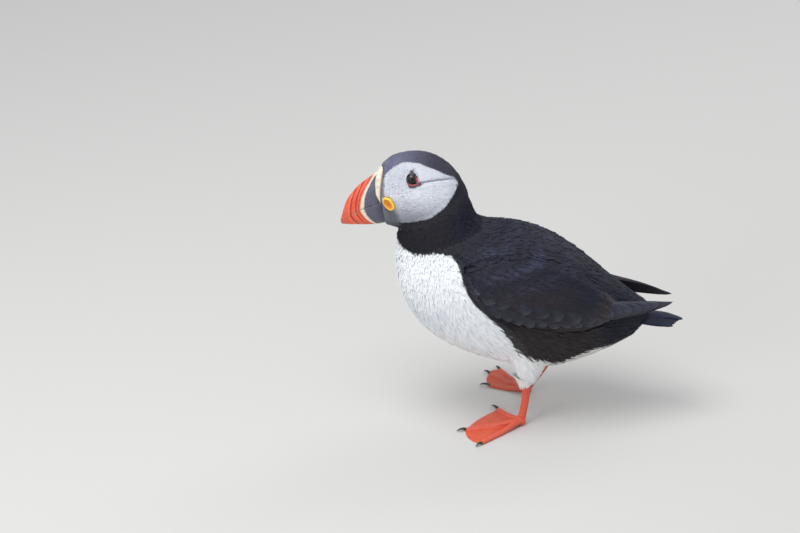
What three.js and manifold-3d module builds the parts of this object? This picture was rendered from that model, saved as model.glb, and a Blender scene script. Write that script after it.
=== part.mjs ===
// Atlantic puffin (Fratercula arctica), an adult in breeding plumage, as a still life-size model.
// Millimetres, +Z up. The bird faces -X, its left side is -Y, and both soles lie flat in Z = 0.
// The solids reach to the outside of the plumage. Neighbouring pieces keep the gap PART_GAP.

import * as THREE from "three";
import { mergeVertices } from "three/addons/utils/BufferGeometryUtils.js";
import Module from "manifold-3d";

const wasm = await Module();
wasm.setup();

// ---------------------------------------------------------------- driving dimensions

const PART_GAP = 0.3; // between two pieces that meet
const LEFT = -1; // the sign of Y on the bird's left
const RIGHT = 1;

// Trunk and neck as ribs, each a closed ring from its back point to its belly point [x, z].
// half is the half width, and lift moves the widest place towards the back.
const TRUNK_RIBS = [
  { back: [-37, 180], belly: [-70, 158], half: 11, lift: 0 }, // inside the head
  { back: [-31.5, 169], belly: [-76, 147], half: 18.5, lift: 0 },
  { back: [-28, 158], belly: [-79, 137], half: 22.5, lift: 0 }, // collar
  { back: [-23.5, 147.5], belly: [-81, 124], half: 28, lift: 0 },
  { back: [-12, 142], belly: [-80, 106], half: 35.5, lift: 0.02 }, // root of the neck
  { back: [3, 141], belly: [-74, 87], half: 41, lift: 0.04 }, // shoulder
  { back: [18, 136], belly: [-62, 69], half: 43.5, lift: 0.05 },
  { back: [33, 128.5], belly: [-44, 56], half: 43.5, lift: 0.05 },
  { back: [47, 119], belly: [-22, 46.5], half: 41, lift: 0.04 },
  { back: [60, 109], belly: [3, 40], half: 36.5, lift: 0.03 },
  { back: [72, 100], belly: [28, 38.5], half: 30, lift: 0.02 },
  { back: [82, 92.5], belly: [50, 45], half: 22.5, lift: 0 }, // vent
  { back: [90, 87], belly: [69, 53], half: 17, lift: 0 },
  { back: [97, 81.5], belly: [84, 61], half: 10, lift: 0 }, // under the tail
];
const NECK_CUT = { at: [-22, 146], through: [-82, 129] }; // root of the nape to the breast
const HEAD_CUT = { at: [-30, 164], through: [-81, 139.5] }; // back of the cheek to the chin
const BACK_CUT = { at: [97, 52], through: [-60, 142] }; // black back above, white belly below

// Head as upright ribs from the bill to the nape. cheek over 0 makes the lower half the wider one.
const HEAD_RIBS = [
  { x: -91.5, top: 184.5, bottom: 143.5, half: 7.2, cheek: 0.1 },
  { x: -88, top: 189.5, bottom: 143.2, half: 11, cheek: 0.14 },
  { x: -82, top: 193.8, bottom: 142, half: 14.6, cheek: 0.16 },
  { x: -73, top: 196.2, bottom: 140.5, half: 17.2, cheek: 0.16 },
  { x: -62, top: 196.4, bottom: 141, half: 18.6, cheek: 0.14 },
  { x: -52, top: 192.8, bottom: 145, half: 18.4, cheek: 0.1 },
  { x: -43, top: 186.2, bottom: 151, half: 15.6, cheek: 0.05 },
  { x: -36.5, top: 178.5, bottom: 158.5, half: 10, cheek: 0 },
];

// Bill. Three outlines run from the base to the tip: culmen, gape (where it opens) and keel.
// Points of the same number lie on one band, so the bands bow towards the tip.
const BILL = {
  culmen: [[-88.3, 186.2], [-93.9, 180.6], [-102.6, 173.9], [-107.6, 169], [-114, 159.6], [-118.3, 144.6]],
  gape: [[-90.2, 161.6], [-103.2, 155.8], [-107.4, 153], [-110.8, 150.2], [-114.3, 147.2], [-117.7, 143.8]],
  keel: [[-86, 144.2], [-91.7, 143.2], [-97.5, 142.9], [-103.5, 142.8], [-110, 142.8], [-116.9, 143]],
  half: 7.6, // half the width where the bill meets the face, at the gape
  ridge: 1.5, // half the thickness of the culmen and keel
  bow: 0.42, // how far the bands bow towards the tip, as a share of their height
  drop: 0.25, // how far they bow downwards too below the gape
};
// Places along the bill, from 0 at its base to 1 at its tip. The soft rim widens up to the culmen.
const BANDS = { root: 0.02, cere: 0.045, cereTop: 0.15, ridge: 0.2, firstGroove: 0.4, secondGroove: 0.6, tip: 0.985 };
const BAND_STEP = 0.018; // what is left open between two lengths of the bill
const CERE_PROUD = 0.9; // the soft rim at the bill's base
const ROSETTE = { x: -84.9, z: 163.2, long: 5.2, short: 3.5, deep: 2.6, tilt: 42, sunk: 1 };

// Eye, with its ring of bare skin and the two horny plates above and below it.
const EYE = { x: -69, z: 181.4, radius: 4.35, sunk: 3, lean: 21 };
const EYE_RING = { radius: 3.35, thick: 0.55 };
const UPPER_PLATE = { foot: 1.8, top: 6.3, fore: -3.2, aft: 3.6, peak: -0.2 };
const LOWER_PLATE = { foot: -2.6, top: -5.2, fore: -3, aft: 5.8, peak: -1.2 };
const PLATE = { proud: 0.5, deep: 1.2 };

// Folded wings: a shell over the trunk's side, then a blade of long feathers to the tip.
const WING = { from: 0.345, to: 0.8, off: 0.8, thick: 4.1, rim: 0.9 };
const WING_TOP_ANGLE = [52, 33, 26, 24, 27, 38]; // degrees round the ribs from the back, front to rear
const WING_LOW_ANGLE = [90, 94, 94, 92, 88, 76];
const BLADE_RIBS = [
  { x: 34, out: [35, 40], z: [98, 84], thick: 2 },
  { x: 50, out: [28, 34], z: [100, 80], thick: 2 },
  { x: 64, out: [22.5, 28.5], z: [99.5, 76.5], thick: 1.8 },
  { x: 78, out: [18.5, 23], z: [97, 79], thick: 1.6 },
  { x: 92, out: [14.5, 17.5], z: [93.2, 81.8], thick: 1.3 },
  { x: 104, out: [9.8, 11.5], z: [89.9, 84.9], thick: 1.1 },
  { x: 111.5, out: [6.8, 7.3], z: [88, 86.8], thick: 0.9 },
];

const TAIL_RIBS = [
  { x: 70, z: 80, half: 8, thick: 14, roof: 1 },
  { x: 80, z: 77, half: 15, thick: 14, roof: 3 },
  { x: 90, z: 75, half: 19, thick: 9, roof: 5 },
  { x: 99, z: 74.4, half: 18.5, thick: 4.6, roof: 5 },
  { x: 107, z: 73.4, half: 15, thick: 2.4, roof: 3.6 },
  { x: 113.5, z: 71.8, half: 10, thick: 1.8, roof: 2 },
  { x: 118.6, z: 70, half: 4, thick: 1.3, roof: 0.8 },
];

// Legs. ankle and joint are the ends of the bare shank, turn is how far the foot points outwards,
// and spread is how wide its toes are opened.
const LEGS = {
  left: { side: LEFT, ankle: [10.5, 22, 31], joint: [6.9, 22.5, 4], turn: 14, spread: 1 },
  right: { side: RIGHT, ankle: [27, 25, 27.5], joint: [12.4, 28, 4], turn: 50, spread: 0.4 },
};
const SHANK = { deep: 2.9, wide: 1.9 };
const TOES = {
  inner: { angle: -70, length: 29, claw: 6.5 },
  middle: { angle: 0, length: 41, claw: 5 },
  outer: { angle: 34, length: 43, claw: 4.5 },
};
const TOE_RADIUS = { root: 2.3, tip: 1.45 };
const WEB_THICK = 0.9;
const WEB_BULGE = 0.2; // how far the web's edge bulges between two toes, as a share of its reach
const HEEL_RADIUS = 3.1;
const THIGH = { top: [12, 20, 62], knee: [12, 21.5, 44], topRadius: 19, kneeRadius: 11, cuff: 4.4 };

const COLOURS = {
  black: 0x23242b,
  white: 0xe9ecef,
  grey: 0xb9bcc6,
  orange: 0xdd5a30,
  billRed: 0xe4563a,
  cream: 0xe8d9bd,
  yellow: 0xe9a21c,
  slate: 0x4b4d5c,
  claw: 0x25242a,
  eye: 0x1c1416,
  ring: 0xb5322b,
};

// ---------------------------------------------------------------- curves, solids and cuts

/** A smooth curve through rows of numbers, as a function from 0..1 to a row. */
function through(rows) {
  const places = rows.map((_, i) => i / (rows.length - 1));
  const curve = new THREE.CubicInterpolant(places, rows.flat(), rows[0].length);
  return (t) => Array.from(curve.evaluate(THREE.MathUtils.clamp(t, 0, 1)));
}

/** A closed surface over rings of points, each end closed on the middle of its ring. */
function skinOver(rings) {
  const around = rings[0].length;
  const middle = (ring) =>
    ring.reduce((sum, p) => sum.add(p), new THREE.Vector3()).divideScalar(around);
  const points = [...rings.flat(), middle(rings[0]), middle(rings.at(-1))];
  const [front, rear] = [points.length - 2, points.length - 1];
  const faces = [];
  for (let j = 0; j < around; j++) {
    const k = (j + 1) % around;
    for (let i = 0; i + 1 < rings.length; i++) {
      const [a, b] = [i * around, (i + 1) * around];
      faces.push(a + j, b + j, b + k, a + j, b + k, a + k);
    }
    const last = (rings.length - 1) * around;
    faces.push(front, j, k, rear, last + k, last + j);
  }
  const geometry = new THREE.BufferGeometry().setFromPoints(points);
  geometry.setIndex(faces);
  return geometry;
}

/** A closed geometry as a manifold-3d solid that faces outwards. */
function toSolid(geometry) {
  const bare = geometry.clone();
  bare.deleteAttribute("normal");
  bare.deleteAttribute("uv");
  const merged = mergeVertices(bare, 1e-4);
  const index = Array.from(merged.index.array);
  const positions = merged.attributes.position.array;
  const build = (flip) => {
    const triVerts = [];
    for (let i = 0; i < index.length; i += 3) {
      const [a, b, c] = index.slice(i, i + 3);
      if (a === b || b === c || c === a) continue;
      triVerts.push(a, flip ? c : b, flip ? b : c);
    }
    return new wasm.Manifold(
      new wasm.Mesh({ numProp: 3, vertProperties: positions, triVerts: new Uint32Array(triVerts) }),
    );
  };
  const solid = build(false);
  return solid.volume() < 0 ? build(true) : solid;
}

/** A manifold-3d solid as a three.js geometry. */
function toGeometry(solid) {
  const { vertProperties, triVerts } = solid.getMesh();
  const geometry = new THREE.BufferGeometry();
  geometry.setAttribute("position", new THREE.BufferAttribute(new Float32Array(vertProperties), 3));
  geometry.setIndex(new THREE.BufferAttribute(new Uint32Array(triVerts), 1));
  geometry.computeVertexNormals();
  return geometry;
}

/** The largest body of a solid, so that a cut leaves no crumbs. */
function mainBody(solid) {
  return solid.decompose().reduce((best, body) => (body.volume() > best.volume() ? body : best));
}

/** One side of a solid, past a plane that runs along Y through two points [x, z]. */
function beyond(solid, { at, through: end }, upper) {
  const sign = upper ? 1 : -1;
  const normal = new THREE.Vector2(at[1] - end[1], end[0] - at[0]).normalize().multiplyScalar(-sign);
  const offset = normal.dot(new THREE.Vector2(...at)) + PART_GAP / 2;
  return solid.trimByPlane([normal.x, 0, normal.y], offset);
}

/** sin or cos to a power that keeps its sign, for sections fuller than an ellipse. */
function fuller(value, power) {
  return Math.sign(value) * Math.abs(value) ** power;
}

/** A tapered round tube through points, with radius given by a function of 0..1. */
function tube(points, radius, { rings = 8, sides = 10, flatten = 1 } = {}) {
  const path = new THREE.CatmullRomCurve3(points);
  const made = [];
  for (let i = 0; i <= rings; i++) {
    const t = i / rings;
    const centre = path.getPoint(t);
    const along = path.getTangent(t);
    const side = new THREE.Vector3(0, 0, 1).cross(along);
    if (side.length() < 0.2) side.set(0, 1, 0).addScaledVector(along, -along.y);
    side.normalize();
    const up = along.clone().cross(side).normalize();
    const ring = [];
    for (let j = 0; j < sides; j++) {
      const a = (j / sides) * 2 * Math.PI;
      ring.push(
        centre
          .clone()
          .addScaledVector(side, Math.cos(a) * radius(t) * flatten)
          .addScaledVector(up, Math.sin(a) * radius(t)),
      );
    }
    made.push(ring);
  }
  return toSolid(skinOver(made));
}

// ---------------------------------------------------------------- trunk, neck and head

const trunkCurve = through(TRUNK_RIBS.map((r) => [...r.back, ...r.belly, r.half, r.lift]));

/** A point of the trunk's surface: t from the head to the tail, angle round from the back. */
function trunkPoint(t, angle, grow = 0) {
  const [backX, backZ, bellyX, bellyZ, half, lift] = trunkCurve(t);
  const middle = new THREE.Vector2((backX + bellyX) / 2, (backZ + bellyZ) / 2);
  const spoke = new THREE.Vector2(backX - bellyX, backZ - bellyZ).divideScalar(2);
  spoke.setLength(spoke.length() + grow);
  const upright = fuller(Math.cos(angle), 0.94);
  const across = (half + grow) * fuller(Math.sin(angle), 0.94) * (1 + lift * Math.cos(angle));
  return new THREE.Vector3(middle.x + spoke.x * upright, across, middle.y + spoke.y * upright);
}

function makeTrunk(grow = 0) {
  const sections = 22;
  const around = 22;
  const rings = [];
  for (let i = 0; i <= sections; i++) {
    const ring = [];
    for (let j = 0; j < around; j++)
      ring.push(trunkPoint(i / sections, (j / around) * 2 * Math.PI, grow));
    rings.push(ring);
  }
  if (grow > 0) rings.push(rings.at(-1).map((p) => p.clone().add(new THREE.Vector3(grow, 0, -grow / 2))));
  return toSolid(skinOver(rings));
}

const headCurve = through(HEAD_RIBS.map((r) => [r.x, r.top, r.bottom, r.half, r.cheek]));

/** A point of the head's surface: t from the bill to the nape, angle round from the crown. */
function headPoint(t, angle) {
  const [x, top, bottom, half, cheek] = headCurve(t);
  const z = (top + bottom) / 2 + ((top - bottom) / 2) * fuller(Math.cos(angle), 0.95);
  const y = half * fuller(Math.sin(angle), 0.9) * (1 - cheek * Math.cos(angle));
  return new THREE.Vector3(x, y, z);
}

function makeHead() {
  const sections = 13;
  const around = 20;
  const rings = [];
  for (let i = 0; i <= sections; i++) {
    const ring = [];
    for (let j = 0; j < around; j++) ring.push(headPoint(i / sections, (j / around) * 2 * Math.PI));
    rings.push(ring);
  }
  return toSolid(skinOver(rings));
}

/** The value in 0..1 at which a falling or rising function passes a wanted one, by halving. */
function solve(measure, wanted) {
  let [low, high] = [0, 1];
  const rising = measure(1) > measure(0);
  for (let i = 0; i < 30; i++) {
    const middle = (low + high) / 2;
    if (measure(middle) < wanted === rising) low = middle;
    else high = middle;
  }
  return (low + high) / 2;
}

/** A point on the side of the head at x and z, proud of its surface. */
function onCheek(x, z, side, proud = 0) {
  const t = solve((value) => headCurve(value)[0], x);
  const share = solve((value) => headPoint(t, value * Math.PI).z, z);
  return new THREE.Vector3(x, side * (headPoint(t, share * Math.PI).y + proud), z);
}

// ---------------------------------------------------------------- bill

const billCurves = Object.fromEntries(
  ["culmen", "gape", "keel"].map((name) => [name, through(BILL[name])]),
);

/** A smooth bump of one width round a centre. */
function bump(u, centre, width) {
  return Math.exp(-(((u - centre) / width) ** 2));
}

/** A point of the bill's side: u from base to tip, v from keel (-1) by the gape (0) to culmen (1). */
function billPoint(u, v, side, proud = 0) {
  const [culmen, gape, keel] = ["culmen", "gape", "keel"].map((name) => billCurves[name](u));
  const end = v > 0 ? culmen : keel;
  const share = Math.abs(v);
  const reach = Math.hypot(end[0] - gape[0], end[1] - gape[1]);
  const arc = reach * share * (1 - share) * (1 - 0.65 * bump(u, 0, 0.06)) * (1 - 0.5 * u);
  const x = gape[0] + (end[0] - gape[0]) * share - BILL.bow * arc;
  const z = gape[1] + (end[1] - gape[1]) * share - (v < 0 ? BILL.drop * arc : 0);
  const [root, tip] = [BILL.gape[0][0], BILL.gape.at(-1)[0]];
  const taper = Math.max(0, (gape[0] - tip) / (root - tip)) ** 0.62;
  const flank = Math.sqrt(Math.max(0, 1 - share ** 2.2));
  const relief =
    0.4 * bump(u, BANDS.ridge, 0.03) -
    0.45 * bump(u, BANDS.firstGroove, 0.03) -
    0.45 * bump(u, BANDS.secondGroove, 0.03);
  const ridge = BILL.ridge * (0.35 + 0.65 * taper);
  const y = ridge + (BILL.half * taper - ridge * 0.6 + relief) * flank + proud;
  const lift = (proud * (z - gape[1])) / Math.max(reach, 1);
  return new THREE.Vector3(x, side * Math.max(y, 0.4), z + lift);
}

/** Where the soft rim ends, at a height v up the bill. */
function rimEnd(v) {
  return THREE.MathUtils.lerp(BANDS.cere, BANDS.cereTop, Math.max(0, v) ** 3);
}

/**
 * A length of the bill between two values of u and two of v, closed across at its ends.
 * A value of u may also be a function of v.
 */
function billLength([from, to], vRange, steps, { proud = () => 0, sideSteps = 6 } = {}) {
  const at = (u, v) => (typeof u === "function" ? u(v) : u);
  const rings = [];
  for (let i = 0; i <= steps; i++) {
    const share = i / steps;
    const vs = Array.from({ length: sideSteps + 1 }, (_, j) =>
      THREE.MathUtils.lerp(...vRange, j / sideSteps),
    );
    const point = (v, side) =>
      billPoint(THREE.MathUtils.lerp(at(from, v), at(to, v), share), v, side, proud(share));
    rings.push([...vs.map((v) => point(v, LEFT)), ...vs.reverse().map((v) => point(v, RIGHT))]);
  }
  return toSolid(skinOver(rings));
}

/** A length of one mandible. Both are moved apart by half a gap, which leaves the gape open. */
function mandible(upper, from, to, steps) {
  const length = billLength([from, to], upper ? [0, 1] : [-1, 0], steps);
  return length.translate([0, 0, (upper ? PART_GAP : -PART_GAP) / 2]);
}

// ---------------------------------------------------------------- face

function ballAt(radius, centre, { flat = 1, lean = 0, around = 12, rows = 6 } = {}) {
  const geometry = new THREE.SphereGeometry(radius, around, rows).rotateX(Math.PI / 2);
  geometry.scale(1, flat, 1).rotateX(THREE.MathUtils.degToRad(lean));
  return toSolid(geometry.translate(centre.x, centre.y, centre.z));
}

function makeEye(side, grow = 0) {
  return ballAt(EYE.radius + grow, onCheek(EYE.x, EYE.z, side, -EYE.sunk));
}

function makeEyeRing(side, grow = 0) {
  const centre = onCheek(EYE.x, EYE.z, side);
  const geometry = new THREE.TorusGeometry(EYE_RING.radius, EYE_RING.thick + grow, 4, 12);
  geometry.rotateX(Math.PI / 2 - side * THREE.MathUtils.degToRad(EYE.lean));
  return toSolid(geometry.translate(centre.x, centre.y, centre.z));
}

/** The room the eye and its ring take up in the head. */
function eyeSocket(side) {
  const reach = EYE_RING.radius + EYE_RING.thick + 2.5 * PART_GAP;
  const flat = (EYE_RING.thick + 3 * PART_GAP) / reach;
  const shape = { flat, lean: -side * EYE.lean, rows: 4 };
  const saucer = ballAt(reach, onCheek(EYE.x, EYE.z, side), shape);
  return saucer.add(makeEye(side, PART_GAP));
}

/** A horny plate on the cheek, from its foot by the eye to its narrow end. */
function makePlate(plate, side, grow = 0) {
  const columns = 3;
  const rows = grow > 0 ? [-0.15, 0, 0.5, 1, 1.15] : [0, 0.25, 0.5, 1];
  const rings = [];
  for (const s of rows) {
    const z = EYE.z + THREE.MathUtils.lerp(plate.foot, plate.top, s);
    const width = (1 - THREE.MathUtils.clamp(s, 0, 1)) ** 0.8;
    const ends = [plate.fore, plate.aft].map(
      (end) => plate.peak + (end - plate.peak) * width + Math.sign(end) * (0.4 + grow),
    );
    const xs = Array.from({ length: columns + 1 }, (_, j) =>
      EYE.x + THREE.MathUtils.lerp(...ends, j / columns),
    );
    rings.push([
      ...xs.map((x) => onCheek(x, z, side, PLATE.proud + grow)),
      ...xs.reverse().map((x) => onCheek(x, z, side, -PLATE.deep - grow)),
    ]);
  }
  return toSolid(skinOver(rings));
}

/** The soft wrinkled patch at the corner of the mouth. */
function makeRosette(side, grow = 0) {
  const geometry = new THREE.SphereGeometry(1, 10, 6);
  geometry.scale(ROSETTE.long + grow, ROSETTE.deep + grow, ROSETTE.short + grow);
  geometry.rotateY(THREE.MathUtils.degToRad(ROSETTE.tilt));
  geometry.rotateZ(side * THREE.MathUtils.degToRad(30));
  const centre = onCheek(ROSETTE.x, ROSETTE.z, side, -ROSETTE.sunk);
  return toSolid(geometry.translate(centre.x, centre.y, centre.z));
}

// ---------------------------------------------------------------- wings and tail

const wingTop = through(WING_TOP_ANGLE.map((a) => [THREE.MathUtils.degToRad(a)]));
const wingLow = through(WING_LOW_ANGLE.map((a) => [THREE.MathUtils.degToRad(a)]));

/** The arm of the folded wing: a shell between two offsets of the trunk's side. */
function makeWing(side, grow = 0) {
  const steps = 11;
  const across = 5;
  const rings = [];
  for (let i = 0; i <= steps; i++) {
    const s = i / steps;
    const t = THREE.MathUtils.lerp(WING.from - grow / 100, WING.to + grow / 100, s);
    const [top] = wingTop(s);
    const low = wingLow(s)[0] + grow / 40;
    const ends = Math.min(1, Math.sqrt(Math.sin(Math.PI * Math.min(1, s * 2.2) * 0.5)));
    const spread = 0.35 + 0.65 * ends;
    const outer = [];
    const inner = [];
    for (let j = 0; j <= across; j++) {
      const v = j / across;
      const angle = low + (top - low) * (0.5 + (v - 0.5) * spread);
      const dome = Math.sin(Math.PI * v) ** 0.5;
      const thick = WING.rim + (WING.thick - WING.rim) * dome * ends;
      outer.push(trunkPoint(t, angle, WING.off + thick + grow));
      inner.unshift(trunkPoint(t, angle, WING.off - grow));
    }
    const ring = [...outer, ...inner];
    ring.forEach((p) => (p.y *= side));
    rings.push(ring);
  }
  return toSolid(skinOver(rings));
}

/** The blade of folded flight feathers behind the arm. out and z hold the top and low edge. */
function makeBlade(side) {
  const curve = through(BLADE_RIBS.map((r) => [r.x, ...r.out, ...r.z, r.thick]));
  const steps = 7;
  const across = 4;
  const rings = [];
  for (let i = 0; i <= steps; i++) {
    const [x, outTop, outLow, zTop, zLow, thick] = curve(i / steps);
    const chord = new THREE.Vector2(outLow - outTop, zLow - zTop);
    const outward = new THREE.Vector2(-chord.y, chord.x).normalize();
    const outer = [];
    const inner = [];
    for (let j = 0; j <= across; j++) {
      const v = j / across;
      const bulge = 0.12 * chord.length() * Math.sin(Math.PI * v);
      const place = new THREE.Vector2(outTop, zTop).addScaledVector(chord, v);
      const skin = place.clone().addScaledVector(outward, bulge + thick * Math.sin(Math.PI * v) * 0.4);
      const back = place.clone().addScaledVector(outward, bulge - thick);
      outer.push(new THREE.Vector3(x, side * skin.x, skin.y));
      inner.unshift(new THREE.Vector3(x, side * back.x, back.y));
    }
    rings.push([...outer, ...inner]);
  }
  return toSolid(skinOver(rings));
}

function makeTail(grow = 0) {
  const curve = through(TAIL_RIBS.map((r) => [r.x, r.z, r.half, r.thick, r.roof]));
  const steps = 8;
  const around = 14;
  const rings = [];
  for (let i = 0; i <= steps; i++) {
    const [x, z, half, thick, roof] = curve(i / steps);
    const ring = [];
    for (let j = 0; j < around; j++) {
      const a = (j / around) * 2 * Math.PI;
      const out = fuller(Math.cos(a), 0.8);
      ring.push(
        new THREE.Vector3(
          x,
          (half + grow) * out,
          z - roof * out * out + (thick / 2 + grow) * fuller(Math.sin(a), 0.7),
        ),
      );
    }
    rings.push(ring);
  }
  return toSolid(skinOver(rings));
}

// ---------------------------------------------------------------- legs

/** A point beside the body: out is measured away from the mid-plane on the leg's own side. */
function beside([x, out, z], side) {
  return new THREE.Vector3(x, side * out, z);
}

function makeThigh(leg) {
  const points = [THIGH.top, THIGH.knee, leg.ankle].map((p) => beside(p, leg.side));
  const floor = points[2].z + PART_GAP;
  points[2].z -= 1;
  const radius = (t) =>
    t < 0.5
      ? THREE.MathUtils.lerp(THIGH.topRadius, THIGH.kneeRadius, t * 2)
      : THREE.MathUtils.lerp(THIGH.kneeRadius, THIGH.cuff, t * 2 - 1);
  return tube(points, radius, { rings: 6, sides: 11, flatten: 0.8 }).trimByPlane([0, 0, 1], floor);
}

function makeShank(leg) {
  const ankle = beside(leg.ankle, leg.side);
  const joint = beside(leg.joint, leg.side);
  const steps = 6;
  const sides = 8;
  const rings = [];
  for (let i = 0; i <= steps; i++) {
    const t = i / steps;
    const centre = ankle.clone().lerp(joint, t);
    centre.x += 0.8 * Math.sin(Math.PI * t);
    const swell = 1 + 0.28 * Math.exp(-((t / 0.16) ** 2)) + 0.18 * Math.exp(-(((1 - t) / 0.14) ** 2));
    const ring = [];
    for (let j = 0; j < sides; j++) {
      const a = (j / sides) * 2 * Math.PI;
      ring.push(
        centre
          .clone()
          .add(new THREE.Vector3(Math.cos(a) * SHANK.deep * swell, Math.sin(a) * SHANK.wide * swell, 0)),
      );
    }
    rings.push(ring);
  }
  return toSolid(skinOver(rings));
}

/** Where a toe points on the floor, for a leg's turn and the toe's own angle. */
function toeDirection(leg, toe) {
  const a = THREE.MathUtils.degToRad(leg.turn + toe.angle * leg.spread);
  return new THREE.Vector3(-Math.cos(a), leg.side * Math.sin(a), 0);
}

function makeToe(leg, toe, grow = 0) {
  const joint = beside(leg.joint, leg.side);
  const way = toeDirection(leg, toe);
  const radius = (t) =>
    THREE.MathUtils.lerp(TOE_RADIUS.root, TOE_RADIUS.tip, t) * (1 + 0.1 * Math.cos(t * 5 * Math.PI)) + grow;
  const path = [0, 0.25, 0.6, 1].map((t) => {
    const p = joint.clone().addScaledVector(way, (toe.length + grow) * t);
    p.z = THREE.MathUtils.lerp(joint.z * 0.8, 0.72 * TOE_RADIUS.tip, Math.min(1, t * 1.6));
    return p;
  });
  return tube(path, radius, { rings: 4, sides: 6 });
}

/** The web: a flat sheet from the joint out to the toes, with an edge that bulges between them. */
function makeWeb(leg) {
  const joint = beside(leg.joint, leg.side);
  const tip = (toe, share) => joint.clone().addScaledVector(toeDirection(leg, toe), toe.length * share);
  const shape = new THREE.Shape();
  const inner = tip(TOES.inner, 0.97);
  const middle = tip(TOES.middle, 0.96);
  const outer = tip(TOES.outer, 0.96);
  const bulge = (a, b) => a.clone().add(b).multiplyScalar(0.5).lerp(joint, -WEB_BULGE);
  shape.moveTo(joint.x, joint.y);
  shape.lineTo(inner.x, inner.y);
  const first = bulge(inner, middle);
  shape.quadraticCurveTo(first.x, first.y, middle.x, middle.y);
  const second = bulge(middle, outer);
  shape.quadraticCurveTo(second.x, second.y, outer.x, outer.y);
  shape.closePath();
  const sheet = { depth: WEB_THICK, bevelEnabled: false, curveSegments: 4 };
  return toSolid(new THREE.ExtrudeGeometry(shape, sheet));
}

function makeHeel(leg, grow = 0) {
  const centre = beside(leg.joint, leg.side).setZ(HEEL_RADIUS - 0.4);
  return ballAt(HEEL_RADIUS + grow, centre, { around: 8, rows: 4 });
}

function makeFoot(leg) {
  const whole = Object.values(TOES)
    .map((toe) => makeToe(leg, toe))
    .reduce((sum, toe) => sum.add(toe), makeWeb(leg).add(makeHeel(leg)));
  return mainBody(whole.trimByPlane([0, 0, 1], 0));
}

function makeClaw(leg, toe) {
  const joint = beside(leg.joint, leg.side);
  const way = toeDirection(leg, toe);
  const root = joint.clone().addScaledVector(way, toe.length + TOE_RADIUS.tip * 0.1);
  root.z = 1.5;
  const path = [0, 0.5, 1].map((t) => {
    const p = root.clone().addScaledVector(way, toe.claw * t);
    p.z = 1.5 + 1.1 * Math.sin(Math.PI * t * 0.75) - 1.5 * t * t;
    return p;
  });
  const radius = (t) => THREE.MathUtils.lerp(1.25, 0.35, t);
  return tube(path, radius, { rings: 3, sides: 5, flatten: 0.75 });
}

// ---------------------------------------------------------------- the bird

const bird = new THREE.Group();

function place(name, solid, colour, roughness = 0.75) {
  const material = new THREE.MeshStandardMaterial({ color: COLOURS[colour], roughness, metalness: 0 });
  const mesh = new THREE.Mesh(toGeometry(solid), material);
  mesh.name = name;
  bird.add(mesh);
}

const sides = { left: LEFT, right: RIGHT };
const trunkWhole = makeTrunk();
const trunkRoom = makeTrunk(PART_GAP); // what a neighbour of the trunk stays out of
const flesh = trunkWhole.add(makeHead());

function placeTrunk() {
  const trunk = beyond(trunkWhole, NECK_CUT, false);
  place("neck", mainBody(beyond(beyond(flesh, HEAD_CUT, false), NECK_CUT, true)), "black");
  place("back", mainBody(beyond(trunk, BACK_CUT, true)), "black");
  place("belly", mainBody(beyond(trunk, BACK_CUT, false)), "white");
  place("tail", mainBody(makeTail().subtract(trunkRoom)), "black");
}

/** The bill stands in a socket in the face, with the soft rim at its root. */
function placeHeadAndBill() {
  const { root, ridge, tip } = BANDS;
  const rimSwell = (share) => CERE_PROUD * Math.sin(Math.PI * (0.12 + 0.76 * share));
  const socketSwell = () => CERE_PROUD + 1.5 * PART_GAP;
  const rim = billLength([root, rimEnd], [0, 1], 3, { proud: rimSwell });
  const pastRim = (v) => rimEnd(v) + BAND_STEP;
  const bill = {
    bill_cere: [rim.translate([0, 0, PART_GAP / 2]), "cream"],
    bill_upper_base: [mandible(true, pastRim, ridge, 4), "slate"],
    bill_upper_tip: [mandible(true, ridge + BAND_STEP, tip, 7), "billRed"],
    bill_lower_base: [mandible(false, root, ridge, 5), "slate"],
    bill_lower_tip: [mandible(false, ridge + BAND_STEP, tip, 7), "billRed"],
  };
  const rosetteRooms = Object.values(sides).map((side) => makeRosette(side, PART_GAP));
  for (const [name, [solid, colour]] of Object.entries(bill)) {
    const clear = rosetteRooms.reduce((rest, room) => rest.subtract(room), solid);
    place(name, mainBody(clear), colour, 0.4);
  }

  const socket = billLength([0, 0.12], [-1, 1], 3, { proud: socketSwell, sideSteps: 8 });
  const plateRooms = Object.values(sides).flatMap((side) =>
    [UPPER_PLATE, LOWER_PLATE].map((plate) => makePlate(plate, side, 2 * PART_GAP)),
  );
  const rooms = [socket, ...rosetteRooms, ...Object.values(sides).map(eyeSocket), ...plateRooms];
  const head = rooms.reduce((rest, room) => rest.subtract(room), beyond(flesh, HEAD_CUT, true));
  place("head", mainBody(head), "grey");
}

function placeFace(name, side) {
  const eyeRoom = makeEye(side, PART_GAP);
  const ringRoom = makeEyeRing(side, PART_GAP);
  place(`eye_${name}`, makeEye(side), "eye", 0.1);
  place(`eye_ring_${name}`, mainBody(makeEyeRing(side).subtract(eyeRoom)), "ring", 0.5);
  for (const [where, plate] of Object.entries({ upper: UPPER_PLATE, lower: LOWER_PLATE })) {
    const solid = makePlate(plate, side).subtract(ringRoom).subtract(eyeRoom);
    place(`eye_plate_${where}_${name}`, mainBody(solid), "slate", 0.5);
  }
  place(`rosette_${name}`, makeRosette(side), "yellow", 0.5);
}

function placeWing(name, side) {
  const blade = [makeWing(side, PART_GAP), trunkRoom, makeTail(PART_GAP)].reduce(
    (rest, room) => rest.subtract(room),
    makeBlade(side),
  );
  place(`wing_${name}`, makeWing(side), "black");
  place(`primaries_${name}`, mainBody(blade), "black");
}

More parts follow.
